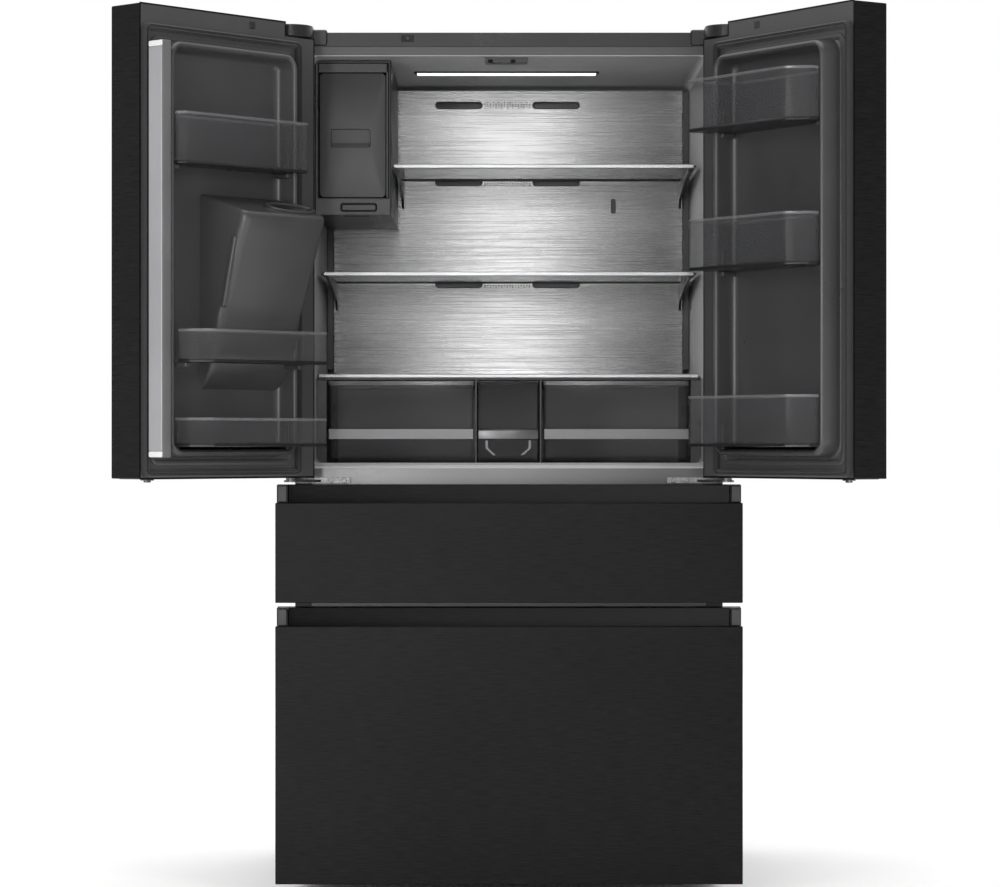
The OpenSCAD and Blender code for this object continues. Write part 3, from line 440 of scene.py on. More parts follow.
SLOT_OF = {s["node"]: s["material_slot"] for s in frame["record"]["subparts"]}
OTHER_LOOKS = {"crisper_left_trim": "handle_metal", "crisper_right_trim": "handle_metal"}
EDGE_WIDTHS = {
    "cabinet_shell": 1.2, "top_trim": 0.9, "duct_panel": 0.8, "ceiling_light": 1.5, "mullion_guide": 0.8,
    "ice_housing": 2.6, "ice_maker": 0.8, "shelf_trims": 1.6, "shelf_brackets": 0.8, "ladder_rails": 1.0,
    "crisper_frame": 0.8, "crisper_left_trim": 1.2, "crisper_right_trim": 1.2, "hinge_brackets": 0.5,
    "base_frame": 0.6, "rear_cover": 0.3, "dispenser_recess": 0.8, "dispenser_panel": 0.6,
    "dispenser_paddle": 0.9, "drip_tray": 0.6, "left_door_shell": 2.2, "right_door_shell": 2.2,
    "upper_drawer_front": 1.5, "lower_drawer_front": 1.5, "drawer_rails": 0.6,
}


def soften(node, width):
    """Rounds a CAD node's edges with modifiers, which leave its own mesh as it is."""
    obj = NODES[node]
    weld = obj.modifiers.new("weld", "WELD")
    weld.merge_threshold = 1e-5
    flat = obj.modifiers.new("flat", "DECIMATE")
    flat.decimate_type = "DISSOLVE"
    flat.angle_limit = math.radians(0.6)
    bevel = obj.modifiers.new("bevel", "BEVEL")
    bevel.width = width * MM
    bevel.segments = 3
    bevel.limit_method = "ANGLE"
    bevel.angle_limit = math.radians(40)
    bevel.use_clamp_overlap = False
    obj.modifiers.new("shading", "WEIGHTED_NORMAL").keep_sharp = True


def finish_cad_nodes():
    """Gives each CAD node its material, and rounds the edges of those that show."""
    for node, obj in NODES.items():
        obj.data.materials.clear()
        obj.data.materials.append(LOOKS[OTHER_LOOKS.get(node, SLOT_OF[node])])
        if node in EDGE_WIDTHS:
            soften(node, EDGE_WIDTHS[node])


# ---- Cabinet ----

LINER_T = 3
liner_low, liner_high = local_box("fridge_liner", FRONT)
ROOM_X = inset((liner_low.x, liner_high.x), LINER_T)
ROOM_Z = inset((liner_low.z, liner_high.z), LINER_T)


def cabinet_liner():
    """One moulding with a rolled lip at the front and soft corners at the back."""
    back = liner_high.y
    deep = back - LINER_T
    profile = [
        (-LINER_T, back, 1), (-LINER_T, 1.0, 1), (-0.9, 0.3, 10), (-0.2, 0.8, 12), (0, 2.4, 12),
        (0, deep - 14, 16), (1.6, deep - 6, 16), (5.5, deep - 1.6, 16), (12, deep, 16),
    ]
    solid = Solid().ring("y", ROOM_X, ROOM_Z, profile, 16, closed=False)
    solid.make("fresh_food_liner", FRONT, "cabinet", "liner", stands_for=["fridge_liner"])


def front_rails():
    """The sill under the doors with its rolled edge, and the rail between the drawers."""
    low, high = local_box("cross_rails", FRONT)
    x, top = (low.x, high.x), ROOM_Z[0] + 0.4
    middle = (upper_cavity_low() - LINER_T, local_box("upper_drawer_front", FRONT)[0].z - 10)
    rails = Solid()
    sill = [(0, ROOM_Z[0] - 70), (17, ROOM_Z[0] - 70), (17, top), (0, top)]
    rails.prism("x", sill, inset(x, 3.2), [0.6, 0.6, 0.6, 11.5], edge=0.3, steps=8)
    lip = [(-0.2, ROOM_Z[0] - 10.4), (16, ROOM_Z[0] - 10.4), (16, top + 0.6), (-0.2, top + 0.6)]
    rails.prism("x", lip, inset(x, 3.3), [0.5, 0.5, 1, 10.4], edge=0.3, steps=8, material=1)
    rails.slab("y", x, (low.z, middle[0] - 0.2), (0, 18), 0.8, 0.6)
    rails.make("sill_and_rail", FRONT, "cabinet", "sill_metal", ("sill_metal", "bright_lip"), ["cross_rails"])


def upper_cavity_low():
    """Height of the upper freezer compartment's floor."""
    split = (local_box("cross_rails", FRONT)[0].z + local_box("upper_drawer_tub", FRONT)[0].z) / 2
    heights = {round((FRONT.inverted() @ v.co).z, 1) for v in NODES["drawer_liners"].data.vertices}
    return min(z for z in heights if z > split)


duct_low, duct_high = local_box("duct_panel", FRONT)
VENT_Z = (1224, 1443, 1609)
VENT_X = (-155, 54)
VENT_W = 98
VENT_H = 16
PIERCED_COLUMNS = 17
PIERCED_PITCH = 6
PIERCED_ROWS = (-4.2, 0, 4.2)
PIERCED_SHIFT = 1.6


def vent_details():
    """Bezels and slanted vanes of the back panel's vents, and the pierced pattern between them, whose shallow cups
    take painted shade to read as holes.
    """
    face = duct_low.y
    bezels, vanes, holes = Solid(), Solid(), Solid()
    for z in VENT_Z:
        for x in VENT_X:
            rim = [(0, face - 0.1), (0, face - 0.7), (0.8, face - 1.1), (1.9, face - 0.7), (2.4, face + 1.6)]
            bezels.ring("y", (x - 2, x + VENT_W + 2), (z - VENT_H / 2, z + VENT_H / 2), rim, 7.9)
            vane = [(face + 1.5, z - 4.6), (face + 3, z - 6.4), (face + 14, z + 4), (face + 13, z + 5)]
            vanes.prism("x", vane, (x + 2, x + VENT_W - 2), 0.4, edge=0.2, steps=1)
        for k in range(PIERCED_COLUMNS):
            x = VENT_X[0] + VENT_W + 7 + k * PIERCED_PITCH
            lift = PIERCED_SHIFT if k % 2 else -PIERCED_SHIFT
            for row in PIERCED_ROWS:
                cup = [(1.5, face - 0.02), (1.5, face - 0.3), (1.0, face - 0.34), (0.8, face - 0.1)]
                holes.turned((x, 0, z + row + lift), "y", cup, count=8)
    bezels.make("vent_bezels", FRONT, "cabinet", "grey_plastic")
    vanes.make("vent_vanes", FRONT, "cabinet", "grey_plastic", ("vane_grey",))
    # The cups are coloured with painted shade, standing for the depth of real holes.
    holes.make("pierced_pattern", FRONT, "cabinet", "black_plastic", ("painted_shade",))


SENSOR = (226, 1392)


def temperature_sensor():
    """Slim case with three air holes, on the back panel."""
    face = duct_low.y
    x, z = SENSOR
    case = Solid().slab("y", (x - 5.5, x + 5.5), (z - 16, z + 16), (face - 3, face), 4.5, 0.8)
    for k in (-1, 0, 1):
        cup = [(1.6, face - 2.8), (1.6, face - 3.3), (1.1, face - 3.5)]
        case.turned((x, 0, z + k * 8), "y", cup, count=12, material=1)
    case.make("temperature_sensor", FRONT, "cabinet", "black_plastic", ("black_plastic", "grey_plastic"))


SHELF_REAR = 502
SHELF_SHADOW_BAND = 48


def shelf_panes():
    """Glass panes with eased edges, and a painted shadow under the rear of each: a thin near-black band."""
    low, high = local_box("shelf_glass", FRONT)
    box_side = local_box("ice_housing", FRONT)[1].x + 2
    heights = sorted({round((FRONT.inverted() @ v.co).z, 1) for v in NODES["shelf_glass"].data.vertices})
    panes = Solid()
    for z in zip(heights[::2], heights[1::2]):
        start = box_side if z[1] > heights[3] + 1 else low.x
        panes.slab("z", (start, high.x), (low.y, SHELF_REAR), z, 3, 0.8)
        # Painted shadow: a near-black band just under the rear of the pane.
        band = (SHELF_REAR - SHELF_SHADOW_BAND, SHELF_REAR - 2)
        panes.slab("z", (start + 2, high.x - 2), band, (z[0] - 0.9, z[0] + 0.1), 2, 0.3, material=1)
    panes.make("shelf_panes", FRONT, "cabinet", "shelf_glass", ("shelf_glass", "painted_shade"), ["shelf_glass"])


def light_frame():
    """Trim round the ceiling light."""
    low, high = local_box("ceiling_light", FRONT)
    a, b = (low.x - 7, high.x + 7), (low.y - 7, high.y + 7)
    top = high.z - 0.1
    profile = [(0, top), (0.6, top - 1.8), (2.5, top - 3), (5.8, top - 3.4), (6.8, top - 2.4), (6.9, top)]
    Solid().ring("z", a, b, profile, 9).make("light_frame", FRONT, "cabinet", "grey_plastic")


def ice_header():
    """Fixed header and edge strip round the ice bucket's front."""
    low, high = local_box("ice_housing", FRONT)
    front_low, front_high = local_box("ice_bucket", FRONT)
    x = (low.x + 8.4, high.x - 6.4)
    header = Solid()
    y = (low.y + 0.2, low.y + 7)
    header.slab("y", x, (front_high.z + 1.4, high.z - 6.4), y, 1.5, 0.8)
    header.slab("y", (front_high.x + 1.2, x[1]), (front_low.z, high.z - 7), y, 0.8, 0.6)
    header.make("ice_header", FRONT, "cabinet", "grey_plastic")


TRIM_SCREW = (-200, 1683)
NECK_X = (359, 394)
NECK_LOW = 1668


def trim_details():
    """Screw pocket of the top band, coloured with painted shade, and the necks that join it to the hinge covers.
    """
    x, z = TRIM_SCREW
    pocket = Solid().slab("y", (x - 13, x + 12), (z - 7, z + 7), (-4.6, -3.2), 2, 0.6)
    head = [(3.4, -4.4), (3.4, -6.2), (2.6, -7.0), (1.2, -7.1), (1.0, -6.2)]
    pocket.turned((x, 0, z), "y", head, count=18, material=1)
    # The pocket takes painted shade; the screw head is grey.
    pocket.make("trim_screw", FRONT, "cabinet", "black_plastic", ("painted_shade", "grey_plastic"))
    top = local_box("top_trim", FRONT)[1].z - 0.6
    necks = Solid()
    for side in (-1, 1):
        necks.slab("y", sorted(side * x for x in NECK_X), (NECK_LOW, top), (-7.5, 24), 5, 2.5)
    necks.make("trim_necks", FRONT, "cabinet", "black_plastic")


BEAD_X = (-370, 370)
BEAD_FIELDS = ((300, 920), (960, 1640))
COVER_SCREW_X = (-388, -190, 0, 190, 388)
COVER_SCREW_Z = (56, 238)


def rear_details():
    """Pressed beads of the back sheet and the screws of the machine cover."""
    back = (shell_high.y - shell_low.y) / MM
    bead = [(0, back - 0.1), (2, back + 0.9), (5, back + 1.3), (8, back + 0.9), (10, back - 0.1)]
    beads = Solid()
    for z in BEAD_FIELDS:
        for by in (0, 60):
            beads.ring("y", inset(BEAD_X, by), inset(z, by), bead, 30)
    beads.make("back_sheet_beads", FRONT, "cabinet", "cabinet_steel")
    head = [(4.2, back - 0.1), (4.2, back + 0.8), (3.2, back + 1.7), (1.4, back + 1.9), (1.2, back + 1.1)]
    screws = Solid()
    for x in COVER_SCREW_X:
        for z in COVER_SCREW_Z:
            screws.turned((x, 0, z), "y", head, count=16)
    screws.make("cover_screws", FRONT, "cabinet", "hinge_steel")


# ---- Door pieces ----

DYKE_U = (84, 418)
DYKE_Z = (858, 1634)
DYKE_H = 45
DYKE_R = 32
SEAT_U = (60, 430)
SEAT_Z = (840, 1645)
NOTCH = (79.3, 1674.7)
HOOK_U = (97, 390)
TONGUE_U = ((96, 101), (401, 406))
HUMP_U = (84, 300)
HUMP_FRONT = (
    (985, 1.0), (996, 12), (1030, 34), (1085, 50), (1125, 56), (1165, 74), (1230, 95), (1280, 113),
    (1300, 121), (1309, 122),
)
HUMP_EDGE = ((1313, 1.2), (1315.4, 3.4), (1316, 6.5))
HUMP_SLOPE = 0.32
CHUTE = (150, 84)
BEAD_LOW = (61, 1138)
BEAD_HIGH = (94, 1272)
BEAD_OUT = 5.2


def liner_sheet(solid, place, node):
    """The flat border of the inner door, cut round the upper hinge, and the raised ring."""
    low, high = local_box(node, place)
    notch_u, notch_z = NOTCH
    outline = [(low.x, low.z), (high.x, low.z), (high.x, high.z), (notch_u, high.z),
               (notch_u, notch_z), (low.x, notch_z)]
    solid.prism("y", outline, (-2, 0), [3, 3, 3, 1, 1, 3], edge=0.5)
    seat = [(0, -0.5), (0.8, 1.6), (3, 2.4), (9, 2.4), (11, 1.4), (12, -0.5)]
    solid.ring("y", SEAT_U, SEAT_Z, seat, 18)
    profile = [
        (-6, -0.8), (-5, 0.6), (-2.4, 1.6), (-0.8, 4), (0, 9), (1.2, 36), (2.4, 41), (4.6, 44),
        (7.4, DYKE_H), (10.4, 44), (12.6, 41), (13.6, 36), (15, 16), (16.6, 9), (20, 4), (25, 1.4), (31, 0.6),
    ]
    solid.ring("y", DYKE_U, DYKE_Z, profile, DYKE_R, closed=False)


def bin_hooks(solid, place, nodes):
    """Ledges under each bin and the tongues that its ends slip over."""
    for node in nodes:
        low, high = local_box(node, place)
        reach = 72 if low.y > 20 else 40
        for u in HOOK_U:
            solid.slab("z", (u, u + 15), (8, reach), (low.z - 9, low.z - 0.3), 3, 1.2)
        if low.y < 20:
            for u in TONGUE_U:
                solid.slab("x", (16, 31), (low.z + 5, low.z + 44), u, 7, 1)


def hump_corners(front, lean):
    """Plan of the hump out to its front, wider at the door's face by lean."""
    return [(HUMP_U[0], -0.6), (HUMP_U[1] + lean, -0.6), (HUMP_U[1], front), (HUMP_U[0], front)]


def hump_top(v):
    """Height of the hump's sloping top at a distance from the door's inner face."""
    return HUMP_EDGE[-1][0] + HUMP_SLOPE * (HUMP_FRONT[-1][1] - v)


def hump(solid):
    """Housing of the dispenser, with a mouth for the ice in its sloping top whose deeper bands take painted shade.
    """
    loops, front = [], HUMP_FRONT[-1][1]
    for z, v in HUMP_FRONT:
        reach = min(16, v * 0.42)
        corners = hump_corners(v, 4 * (1 - z / HUMP_EDGE[-1][0]) + 4)
        loops.append(along("z", rounded(corners, [0.3, 0.3, reach, reach], 6), z))
    for z, by in HUMP_EDGE:
        points, turns = drawn_in(hump_corners(front, 4), [0.3, 0.3, 16, 16], by)
        loops.append(along("z", rounded(points, turns, 6), z))
    for loop in loops[-4:]:
        for p in loop:
            p.z += HUMP_SLOPE * (front - p.y)
    for a, b, sink in ((50, 27, 0), (47, 24, 3), (30, 18, 40)):
        loops.append([oval_point(p, a, b, sink) for p in loops[-1]])
    # The two bands that run down into the mouth take painted shade.
    solid.loft(loops, bands={len(loops) - 3: 1, len(loops) - 2: 1})


def oval_point(p, a, b, sink):
    """The point of the chute's oval that lies in the direction of p, sunk below the hump's top."""
    angle = math.atan2((p.y - CHUTE[1]) / b, (p.x - CHUTE[0]) / a)
    v = CHUTE[1] + b * math.sin(angle)
    return Vector((CHUTE[0] + a * math.cos(angle), v, hump_top(v) - sink))


def hump_bead(solid):
    """Long raised bead on the hump's free side."""
    start, end, top = Vector(BEAD_LOW), Vector(BEAD_HIGH), HUMP_U[1] + BEAD_OUT
    direction = (end - start).normalized()
    across = 5 * Vector((direction.y, -direction.x))
    corners = [start - across, start + across, end + across, end - across]
    rows = ((HUMP_U[1] - 3, 0), (top - 2, 0), (top - 0.8, 1), (top, 3))
    solid.loft(levels("x", corners, [4.9] * 4, rows, steps=6))


def door_liners():
    """Inner panel of each door, the left one with the dispenser's hump."""
    for side, place in (("left", LEFT), ("right", RIGHT)):
        solid = Solid()
        node = side + "_door_liner"
        liner_sheet(solid, place, node)
        bin_hooks(solid, place, [f"{side}_bin_{level}" for level in ("upper", "middle", "lower")])
        if side == "left":
            hump(solid)
            hump_bead(solid)
        # The second material is painted shade for the deep part of the ice chute.
        solid.make(side + "_inner_panel", place, side + "_door", "door_liner",
                   ("door_liner", "painted_shade"), stands_for=[node])


def chute_seal():
    """Double-lipped oval seal round the ice mouth, tilted with the hump's top."""
    a, b, base = 56, 27, hump_top(CHUTE[1]) - 6
    profile = [(-7, 0), (-8.4, 3.4), (-8.6, 5.6), (-7.4, 7.2), (-5.2, 7.4), (-4.4, 8.2), (-5, 9.6),
               (-4.4, 11.6), (-1.6, 12.8), (2, 12.4), (4, 10.4), (4.2, 6), (3.6, 0)]
    loops = []
    angles = [2 * math.pi * k / 56 for k in range(56)]
    for inward, height in profile:
        centre = Vector((*CHUTE, base + height))
        wide, deep = a - inward, b - inward
        loops.append([centre + Vector((wide * math.cos(t), deep * math.sin(t), 0)) for t in angles])
    centre = Vector((*CHUTE, base))
    turn = Matrix.Rotation(-math.atan(HUMP_SLOPE) - math.radians(2), 4, "X")
    tilt = Matrix.Translation(centre) @ turn @ Matrix.Translation(-centre)
    solid = Solid().loft(loops, ring=True)
    solid.make("ice_chute_seal", LEFT @ tilt, "left_door", "grey_plastic")


GASKET_W = 13


def gasket_ring(node, place, body, name, radius):
    """Bellows seal with two lips, carried round its CAD node's outline."""
    low, high = local_box(node, place)
    height = high.y - low.y
    shape = [
        (0, 0), (0, 0.42), (0.09, 0.76), (0.26, 0.96), (0.4, 0.86), (0.48, 0.6), (0.54, 0.58), (0.62, 0.84),
        (0.76, 0.98), (0.92, 0.8), (1, 0.45), (1, 0),
    ]
    profile = [(w * GASKET_W, low.y + h * height) for w, h in shape]
    solid = Solid().ring("y", (low.x, high.x), (low.z, high.z), profile, radius)
    solid.make(name, place, body, "gasket", stands_for=[node])


def gaskets():
    """Seals of the two doors and the two drawers."""
    for body, place, radius in (("left_door", LEFT, 16), ("right_door", RIGHT, 16),
                                ("upper_drawer", FRONT, 12), ("lower_drawer", FRONT, 12)):
        gasket_ring(body + "_gasket", place, body, body + "_seal", radius)


BIN_U = (100, 402)
BIN_WING_V = 48
BIN_BEVEL = 34


def door_bin(node, place):
    """Clear bin with a rolled rim, on a dark base that shows from below."""
    low, high = local_box(node, place)
    back = low.y if low.y < 20 else low.y + 3
    wing = max(BIN_WING_V, low.y)
    bevel = min(BIN_BEVEL, high.y - 56)
    z0, z1 = low.z, high.z
    corners = [
        (BIN_U[0], back), (BIN_U[1], back), (BIN_U[1], wing), (high.x, wing),
        (high.x, high.y - bevel), (high.x - bevel, high.y), (low.x, high.y),
        (low.x, wing), (BIN_U[0], wing),
    ]
    tight = 2 if back < wing else 1.0
    radii = [3, 3, tight, 2, 9, 9, 7, 2, tight]
    walls = Solid()
    rows = [
        (z0 + 0.4, 1.5), (z0 + 2, 0.7), (z1 - 6, 0.5), (z1 - 5, 0), (z1 - 0.6, 0), (z1, 0.5), (z1, 2.2),
        (z1 - 0.8, 2.9), (z0 + 7, 3.4), (z0 + 3.4, 4),
    ]
    loops = levels("z", corners, radii, rows)
    walls.loft(loops, bands={k: 1 for k in range(3, 7)})
    walls.make(node + "_walls", place, node, "smoked_plastic", ("smoked_plastic", "smoked_edge"), [node])
    base = Solid()
    skirt = [(z0, 1.4), (z0 + 0.6, 0.3), (z0 + 5.4, 0.2), (z0 + 6, 0.6), (z0 + 6, 1.2), (z0 + 1.0, 1.6)]
    base.loft(levels("z", corners, radii, skirt))
    base.loft(levels("z", corners, radii, [(z0 + 3.5, 4.6), (z0 + 5, 4.6), (z0 + 5.2, 5.2)]))
    for k in range(1, 12):
        u = BIN_U[0] + k * (BIN_U[1] - BIN_U[0]) / 12
        base.slab("z", (u - 1, u + 1), (back + 12, high.y - 12), (z0 + 5, z0 + 6.4), 0.9, 0.4, 2)
    base.make(node + "_base", place, node, "black_plastic")


def flip_mullion():
    """Bar with a steel face between pale end caps."""
    low, high = local_box("flip_mullion", LEFT)
    u, v, z = (low.x, high.x), (low.y, high.y), (low.z, high.z)
    bar = Solid().slab("z", (u[0], u[1] - 0.9), v, z, 3.2, 1.2)
    bar.make("mullion_bar", LEFT, "flip_mullion", "mullion", ("mullion_side",), ["flip_mullion"])
    face = Solid().slab("x", inset(v, 1.2), inset(z, 12), (u[1] - 1.6, u[1]), 1.6, 0.6)
    face.make("mullion_face", LEFT, "flip_mullion", "mullion")
    caps = Solid()
    for end in ((z[0] + 0.6, z[0] + 11.2), (z[1] - 11.2, z[1] - 0.6)):
        caps.slab("x", inset(v, 0.8), end, (u[1] - 2.4, u[1] + 0.1), 2.4, 0.8)
    caps.make("mullion_end_caps", LEFT, "flip_mullion", "mullion", ("white_plastic",))


CLOSER_U = (160, 174)
CLOSER_Z = (1680, 1694)
STOP_U = (414, 436)
STOP_V = (-22, -4)


def door_details():
    """Caps, closer tabs and stop clips of the two doors."""
    for side, place in (("left", LEFT), ("right", RIGHT)):
        body = side + "_door"
        low, high = local_box(side + "_door_shell", place)
        end, v = high.x - 8, (low.y + 8, -8)
        caps = Solid()
        caps.slab("z", (92, end), v, (high.z - 0.4, high.z + 0.9), 8, 0.6)
        caps.slab("z", (60, end), v, (low.z - 0.9, low.z + 0.4), 8, 0.6)
        caps.slab("y", CLOSER_U, CLOSER_Z, (-0.4, 1.6), 2.5, 0.6)
        caps.make(side + "_door_caps", place, body, "black_plastic")
        clip = Solid()
        clip.slab("z", STOP_U, STOP_V, (low.z - 3.4, low.z - 0.8), 4, 0.8)
        clip.slab("z", inset(STOP_U, 4), inset(STOP_V, 4), (low.z - 7, low.z - 3.2), 4, 1.0)
        clip.make(side + "_door_stop", place, body, "hinge_steel")


# ---- Drawer fronts ----

GRIP_H = 35
GRIP_DEEP = 25
GRIP_CAP = 23


def drawer_grip(name):
    """Finger channel behind the front's top edge, with a cap at each end of its band."""
    node = name + "_grip"
    low, high = local_box(node, FRONT)
    wall = 2
    y, z = (low.y + 2, high.y - wall), (high.z - GRIP_H - GRIP_DEEP, high.z)
    top, lip = z[1] - 0.6, z[1] - GRIP_H + 0.6
    channel = [
        (y[1] + wall, top), (y[1], top), (y[1], z[0]), (y[0], z[0]), (y[0], lip),
        (y[0] - wall, lip), (y[0] - wall, z[0] - wall), (y[1] + wall, z[0] - wall),
    ]
    radii = [0.7, 0.7, 8, 8, 0.6, 0.6, 3, 3]
    reach = high.x - GRIP_CAP
    grip = Solid().prism("x", channel, (-reach, reach), radii, edge=0.2, steps=6)
    for side in (-1, 1):
        x = sorted((side * (reach + 1), side * (high.x - 4)))
        grip.slab("x", (low.y, high.y), (z[1] - GRIP_H + 0.3, z[1]), x, 3.5, 1.6, material=1)
        x = sorted((side * (reach - 0.6), side * (reach + 2)))
        grip.slab("x", (y[0] - wall, high.y), (z[0] - wall, z[1] - 1.5), x, 2, 0.4)
    grip.make(node + "_channel", FRONT, name, "grey_plastic", ("black_steel", "cap_grey"), [node])


def drawer_back(name):
    """Dark border of the inner panel where it stands past the cabinet's side."""
    low, high = local_box(name + "_front", FRONT)
    x, z = inset((low.x, high.x), 1), inset((low.z, high.z), 1)
    shape = [(0, -0.1), (0.4, 0.9), (1.2, 1.3), (34, 1.3), (36, 0.8), (36.4, -0.1)]
    border = Solid().ring("y", x, z, [(inward, INNER_Y + out) for inward, out in shape], 4)
    border.make(name + "_back_border", FRONT, name, "black_plastic")


# ---- Crispers, tank and ice bucket ----


def open_tub(solid, x, y, z, wall, radius, draft, rim=8):
    """A drafted tub with a rolled rim, open on top."""
    profile = [
        (draft + 4, z[0]), (draft + 1, z[0] + 2), (draft, z[0] + 5), (1.2, z[1] - rim - 1), (0, z[1] - rim),
        (0, z[1] - 0.8), (0.8, z[1]), (wall, z[1]), (wall + 0.8, z[1] - 0.8), (1.2 + wall, z[1] - rim - 2),
        (draft + wall, z[0] + 9), (draft + wall + 2, z[0] + wall + 2), (draft + wall + 6, z[0] + wall),
    ]
    solid.ring("z", x, y, profile, radius, closed=False, bands={k: 1 for k in range(3, 8)})


def crispers():
    """Clear tubs behind the metal handle strips."""
    for side in ("left", "right"):
        node = "crisper_" + side
        low, high = local_box(node, FRONT)
        tub = Solid()
        open_tub(tub, (low.x, high.x), (low.y + 0.6, high.y), (low.z, high.z), 3, 9, 3)
        tub.make(node + "_tub", FRONT, node, "smoked_plastic", ("smoked_plastic", "smoked_edge"), [node])


TANK_GRIP_Z = (890, 912)


def water_tank():
    """Closed clear tank with a filler mouth, a metal grip and two bent feet."""
    low, high = local_box("water_tank", FRONT)
    x, y, z = (low.x, high.x), (low.y + 8, high.y), (low.z, high.z)
    tank = Solid()
    profile = [
        (5, z[0]), (1.5, z[0] + 1.5), (0.6, z[0] + 5), (0.6, z[1] - 12), (0, z[1] - 11), (0, z[1] - 2),
        (1.4, z[1]), (10, z[1]), (11, z[1] - 1.5), (12, z[1] - 1.5),
    ]
    tank.ring("z", x, y, profile, 12, closed=False)
    mid = (x[0] + x[1]) / 2
    mouth = [(27, z[1] - 2), (27, z[1] + 0.4), (25, z[1] + 0.9), (23, z[1] - 0.6), (22, z[1] - 1.2)]
    tank.turned((mid, y[0] + 58, 0), "z", mouth, count=36, material=1)
    under, over = TANK_GRIP_Z
    grip = [(y[0] - 8, under), (y[0] + 1, under), (y[0] + 1, over), (y[0] - 4, over), (y[0] - 8, over - 4)]
    tank.prism("x", grip, (x[0] + 1, x[1] - 1), [2, 0.5, 0.5, 1, 2], edge=0.8, material=2)
    for side in (-1, 1):
        bend = ((46, 1), (46, 18), (30, 32), (24, 32), (41, 17), (41, 1))
        foot = [(mid + side * out, under - down) for out, down in bend]
        tank.prism("y", foot[::side], (y[0] - 5, y[0] + 0.4), 1.2, edge=0.6, material=2)
    tank.make("water_tank_shell", FRONT, "water_tank", "smoked_plastic",
              ("smoked_plastic", "grey_plastic", "handle_metal"), ["water_tank"])


ICE_PULL_X = (-355, -277)
ICE_PULL_Z = (1474, 1510)
ICE_PULL_DEEP = 17.5
ICE_TUB_TOP = 1500


def ice_bucket():
    """Front with a scooped pull, on a tub that holds the ice."""
    low, high = local_box("ice_bucket", FRONT)
    x, z, face = (low.x, high.x), (low.z, high.z), low.y
    front = Solid()
    rim = [(face + 7.8, 0.4), (face + 1.6, 0), (face + 0.5, 0.6), (face, 2)]
    loops = levels("y", rectangle(x, z), [9] * 4, rim, 6)
    pull = rectangle(ICE_PULL_X, ICE_PULL_Z)
    mouth = [(face, -0.8), (face + 0.5, -0.2), (face + 1.4, 0)]
    loops += levels("y", pull, [4] * 4, mouth, 6)
    for by, start in ((0.6, 0.8), (4.5, 1.6)):
        floor = levels("y", pull, [4] * 4, [(face, by)], 6)[0]
        for p in floor:
            rise = (p.z - ICE_PULL_Z[0]) / (ICE_PULL_Z[1] - ICE_PULL_Z[0])
            p.y += start + ICE_PULL_DEEP * rise ** 0.8
        loops.append(floor)
    front.loft(loops)
    front.slab("y", inset(ICE_PULL_X, -5), inset(ICE_PULL_Z, -5), (face + 7, face + 21), 4, 1)
    front.make("ice_bucket_front", FRONT, "ice_bucket", "grey_plastic", stands_for=["ice_bucket"])
    tub = Solid()
    open_tub(tub, inset(x, 6), (face + 22, high.y), (z[0] + 4, ICE_TUB_TOP), 3, 9, 2)
    tub.slab("y", inset(x, 8), (z[0] + 6, ICE_PULL_Z[0] - 8), (face + 7, face + 24), 4, 1)
    tub.make("ice_bucket_tub", FRONT, "ice_bucket", "black_plastic", ("black_plastic", "grey_plastic"))


# ---- Floor, lights and camera ----

CAMERA_X = -0.0176
CAMERA_BACK = 6.4
CAMERA_Z = 0.882
LENS = 116.46
WORLD_FRONT = 0.28
WORLD_BACK = 1.0
FLOOR_HALF = 30000


def stage():
    """Pale floor under the feet."""
    sides = (-FLOOR_HALF, FLOOR_HALF)
    floor = Solid().slab("z", sides, sides, (-20, 0), 10, 1)
    mesh = bpy.data.meshes.new("floor")
    mesh.from_pydata([p * MM for p in floor.points], [], floor.faces)
    made = bpy.data.objects.new("floor", mesh)
    pale, nodes, links, shader = principled("pale_floor", Roughness=0.75, Specular_IOR_Level=0.2)
    soft = noise(nodes, links, 1.5)
    links.new(shades(nodes, links, soft, (0.9, 0.9, 0.9), 0.01), shader.inputs["Base Color"])
    mesh.materials.append(pale)
    bpy.context.scene.collection.objects.link(made)


def hang(name, data, place, direction):
    """Puts a lamp in the scene, shining along a direction."""
    light = bpy.data.objects.new(name, data)
    light.location = place
    light.rotation_euler = Vector(direction).to_track_quat("-Z", "Y").to_euler()
    bpy.context.scene.collection.objects.link(light)
    return light


def area_light(name, place, aim, size, power, mirrored=True):
    """A rectangular lamp, which bright metal mirrors unless it is told not to."""
    data = bpy.data.lights.new(name, "AREA")
    data.shape = "RECTANGLE"
    data.size, data.size_y = size
    data.energy = power
    hang(name, data, place, Vector(aim) - Vector(place)).visible_glossy = mirrored


def studio_world():
    """A pale cyclorama behind the object, and a dimmer studio in front of it."""
    world = bpy.data.worlds.new("studio")
    world.use_nodes = True
    nodes, links = world.node_tree.nodes, world.node_tree.links
    where = nodes.new("ShaderNodeTexCoord")
    split = nodes.new("ShaderNodeSeparateXYZ")
    links.new(where.outputs["Generated"], split.inputs["Vector"])
    shade = spread(nodes, links, split.outputs["Y"], WORLD_FRONT, WORLD_BACK, -0.35, 0.55)
    links.new(shade, nodes["Background"].inputs["Strength"])
    nodes["Background"].inputs["Color"].default_value = (1, 1, 1, 1)
    bpy.context.scene.world = world


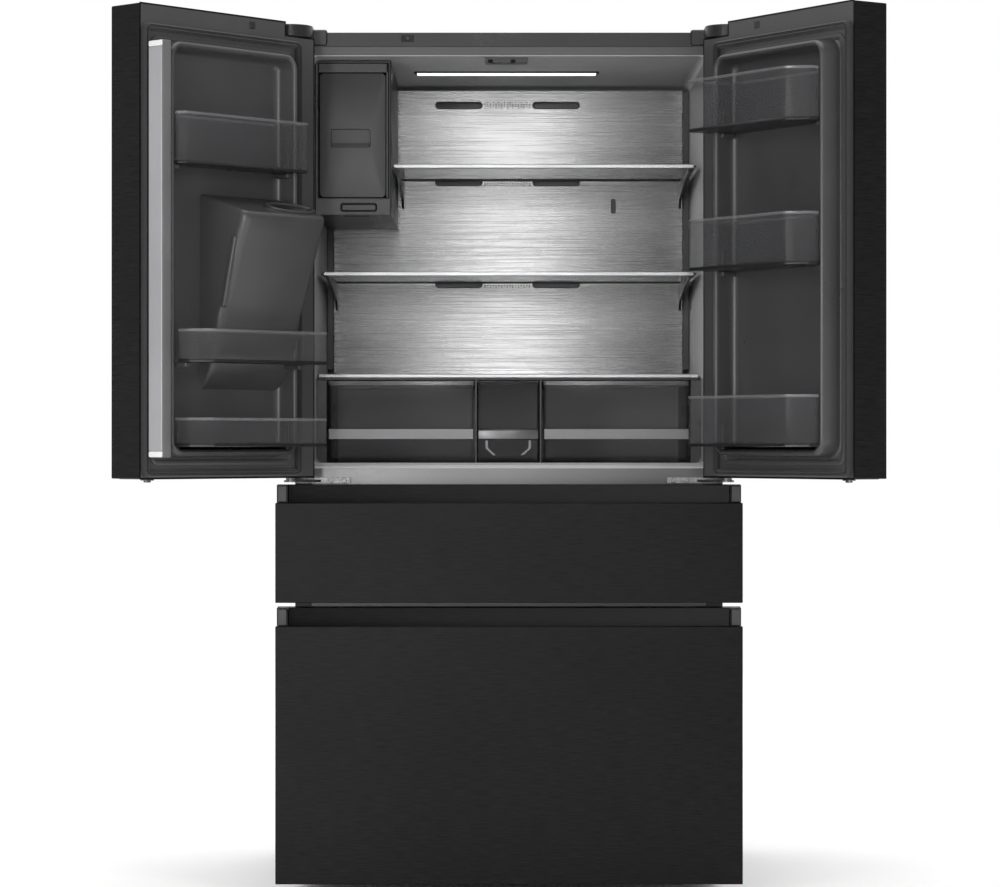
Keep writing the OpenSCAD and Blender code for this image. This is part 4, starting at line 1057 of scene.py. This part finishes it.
def sun(name, direction, strength, softness):
    """Soft light from above, which doesn't fade with distance."""
    data = bpy.data.lights.new(name, "SUN")
    data.energy = strength
    data.angle = math.radians(softness)
    hang(name, data, (0, 0, 0), direction)


def lights():
    """A key light, fills from both sides, and a tall lamp that the back panel mirrors as a band."""
    studio_world()
    sun("overhead", (0.1, 0.12, -1), 1.7, 70)
    area_light("key", (-2.0, -6.5, 1.2), (-0.1, 0, 0.9), (0.8, 1.6), 78)
    area_light("high_left", (-3.2, -4.6, 2.7), (0, 0, 1.1), (1.4, 1.4), 44, mirrored=False)
    area_light("centre", (0, -7.4, 1.7), (0, 0, 1.25), (0.22, 1.8), 38)
    area_light("high_right", (3.2, -4.4, 2.7), (-0.3, 0, 1.2), (1.2, 1.2), 62, mirrored=False)
    area_light("behind", (1.5, 4.6, 2.8), (0, 0, 0.9), (2.6, 2.0), 50, mirrored=False)
    low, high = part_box("ceiling_light")
    x, y = (low.x + high.x) / 2, (low.y + high.y) / 2
    area_light("inside", (x, y, low.z - 0.004), (x, y + 0.2, 1.2), (high.x - low.x, 0.02), 0.14,
               mirrored=False)


def camera():
    """Long lens at eye level in front, level so that uprights stay upright."""
    data = bpy.data.cameras.new("camera")
    data.lens = LENS
    data.sensor_width = 36
    data.clip_end = 100
    made = bpy.data.objects.new("camera", data)
    made.location = (CAMERA_X, shell_low.y - CAMERA_BACK, CAMERA_Z)
    made.rotation_euler = (math.radians(90), 0, 0)
    bpy.context.scene.collection.objects.link(made)
    bpy.context.scene.camera = made
    bpy.context.scene.view_settings.view_transform = "Standard"


finish_cad_nodes()
cabinet_liner()
front_rails()
ice_header()
trim_details()
vent_details()
temperature_sensor()
shelf_panes()
light_frame()
rear_details()
door_liners()
chute_seal()
gaskets()
for door, place in (("left", LEFT), ("right", RIGHT)):
    for level in ("upper", "middle", "lower"):
        door_bin(f"{door}_bin_{level}", place)
flip_mullion()
door_details()
for drawer in ("upper_drawer", "lower_drawer"):
    drawer_grip(drawer)
    drawer_back(drawer)
crispers()
water_tank()
ice_bucket()
stage()
lights()
camera()
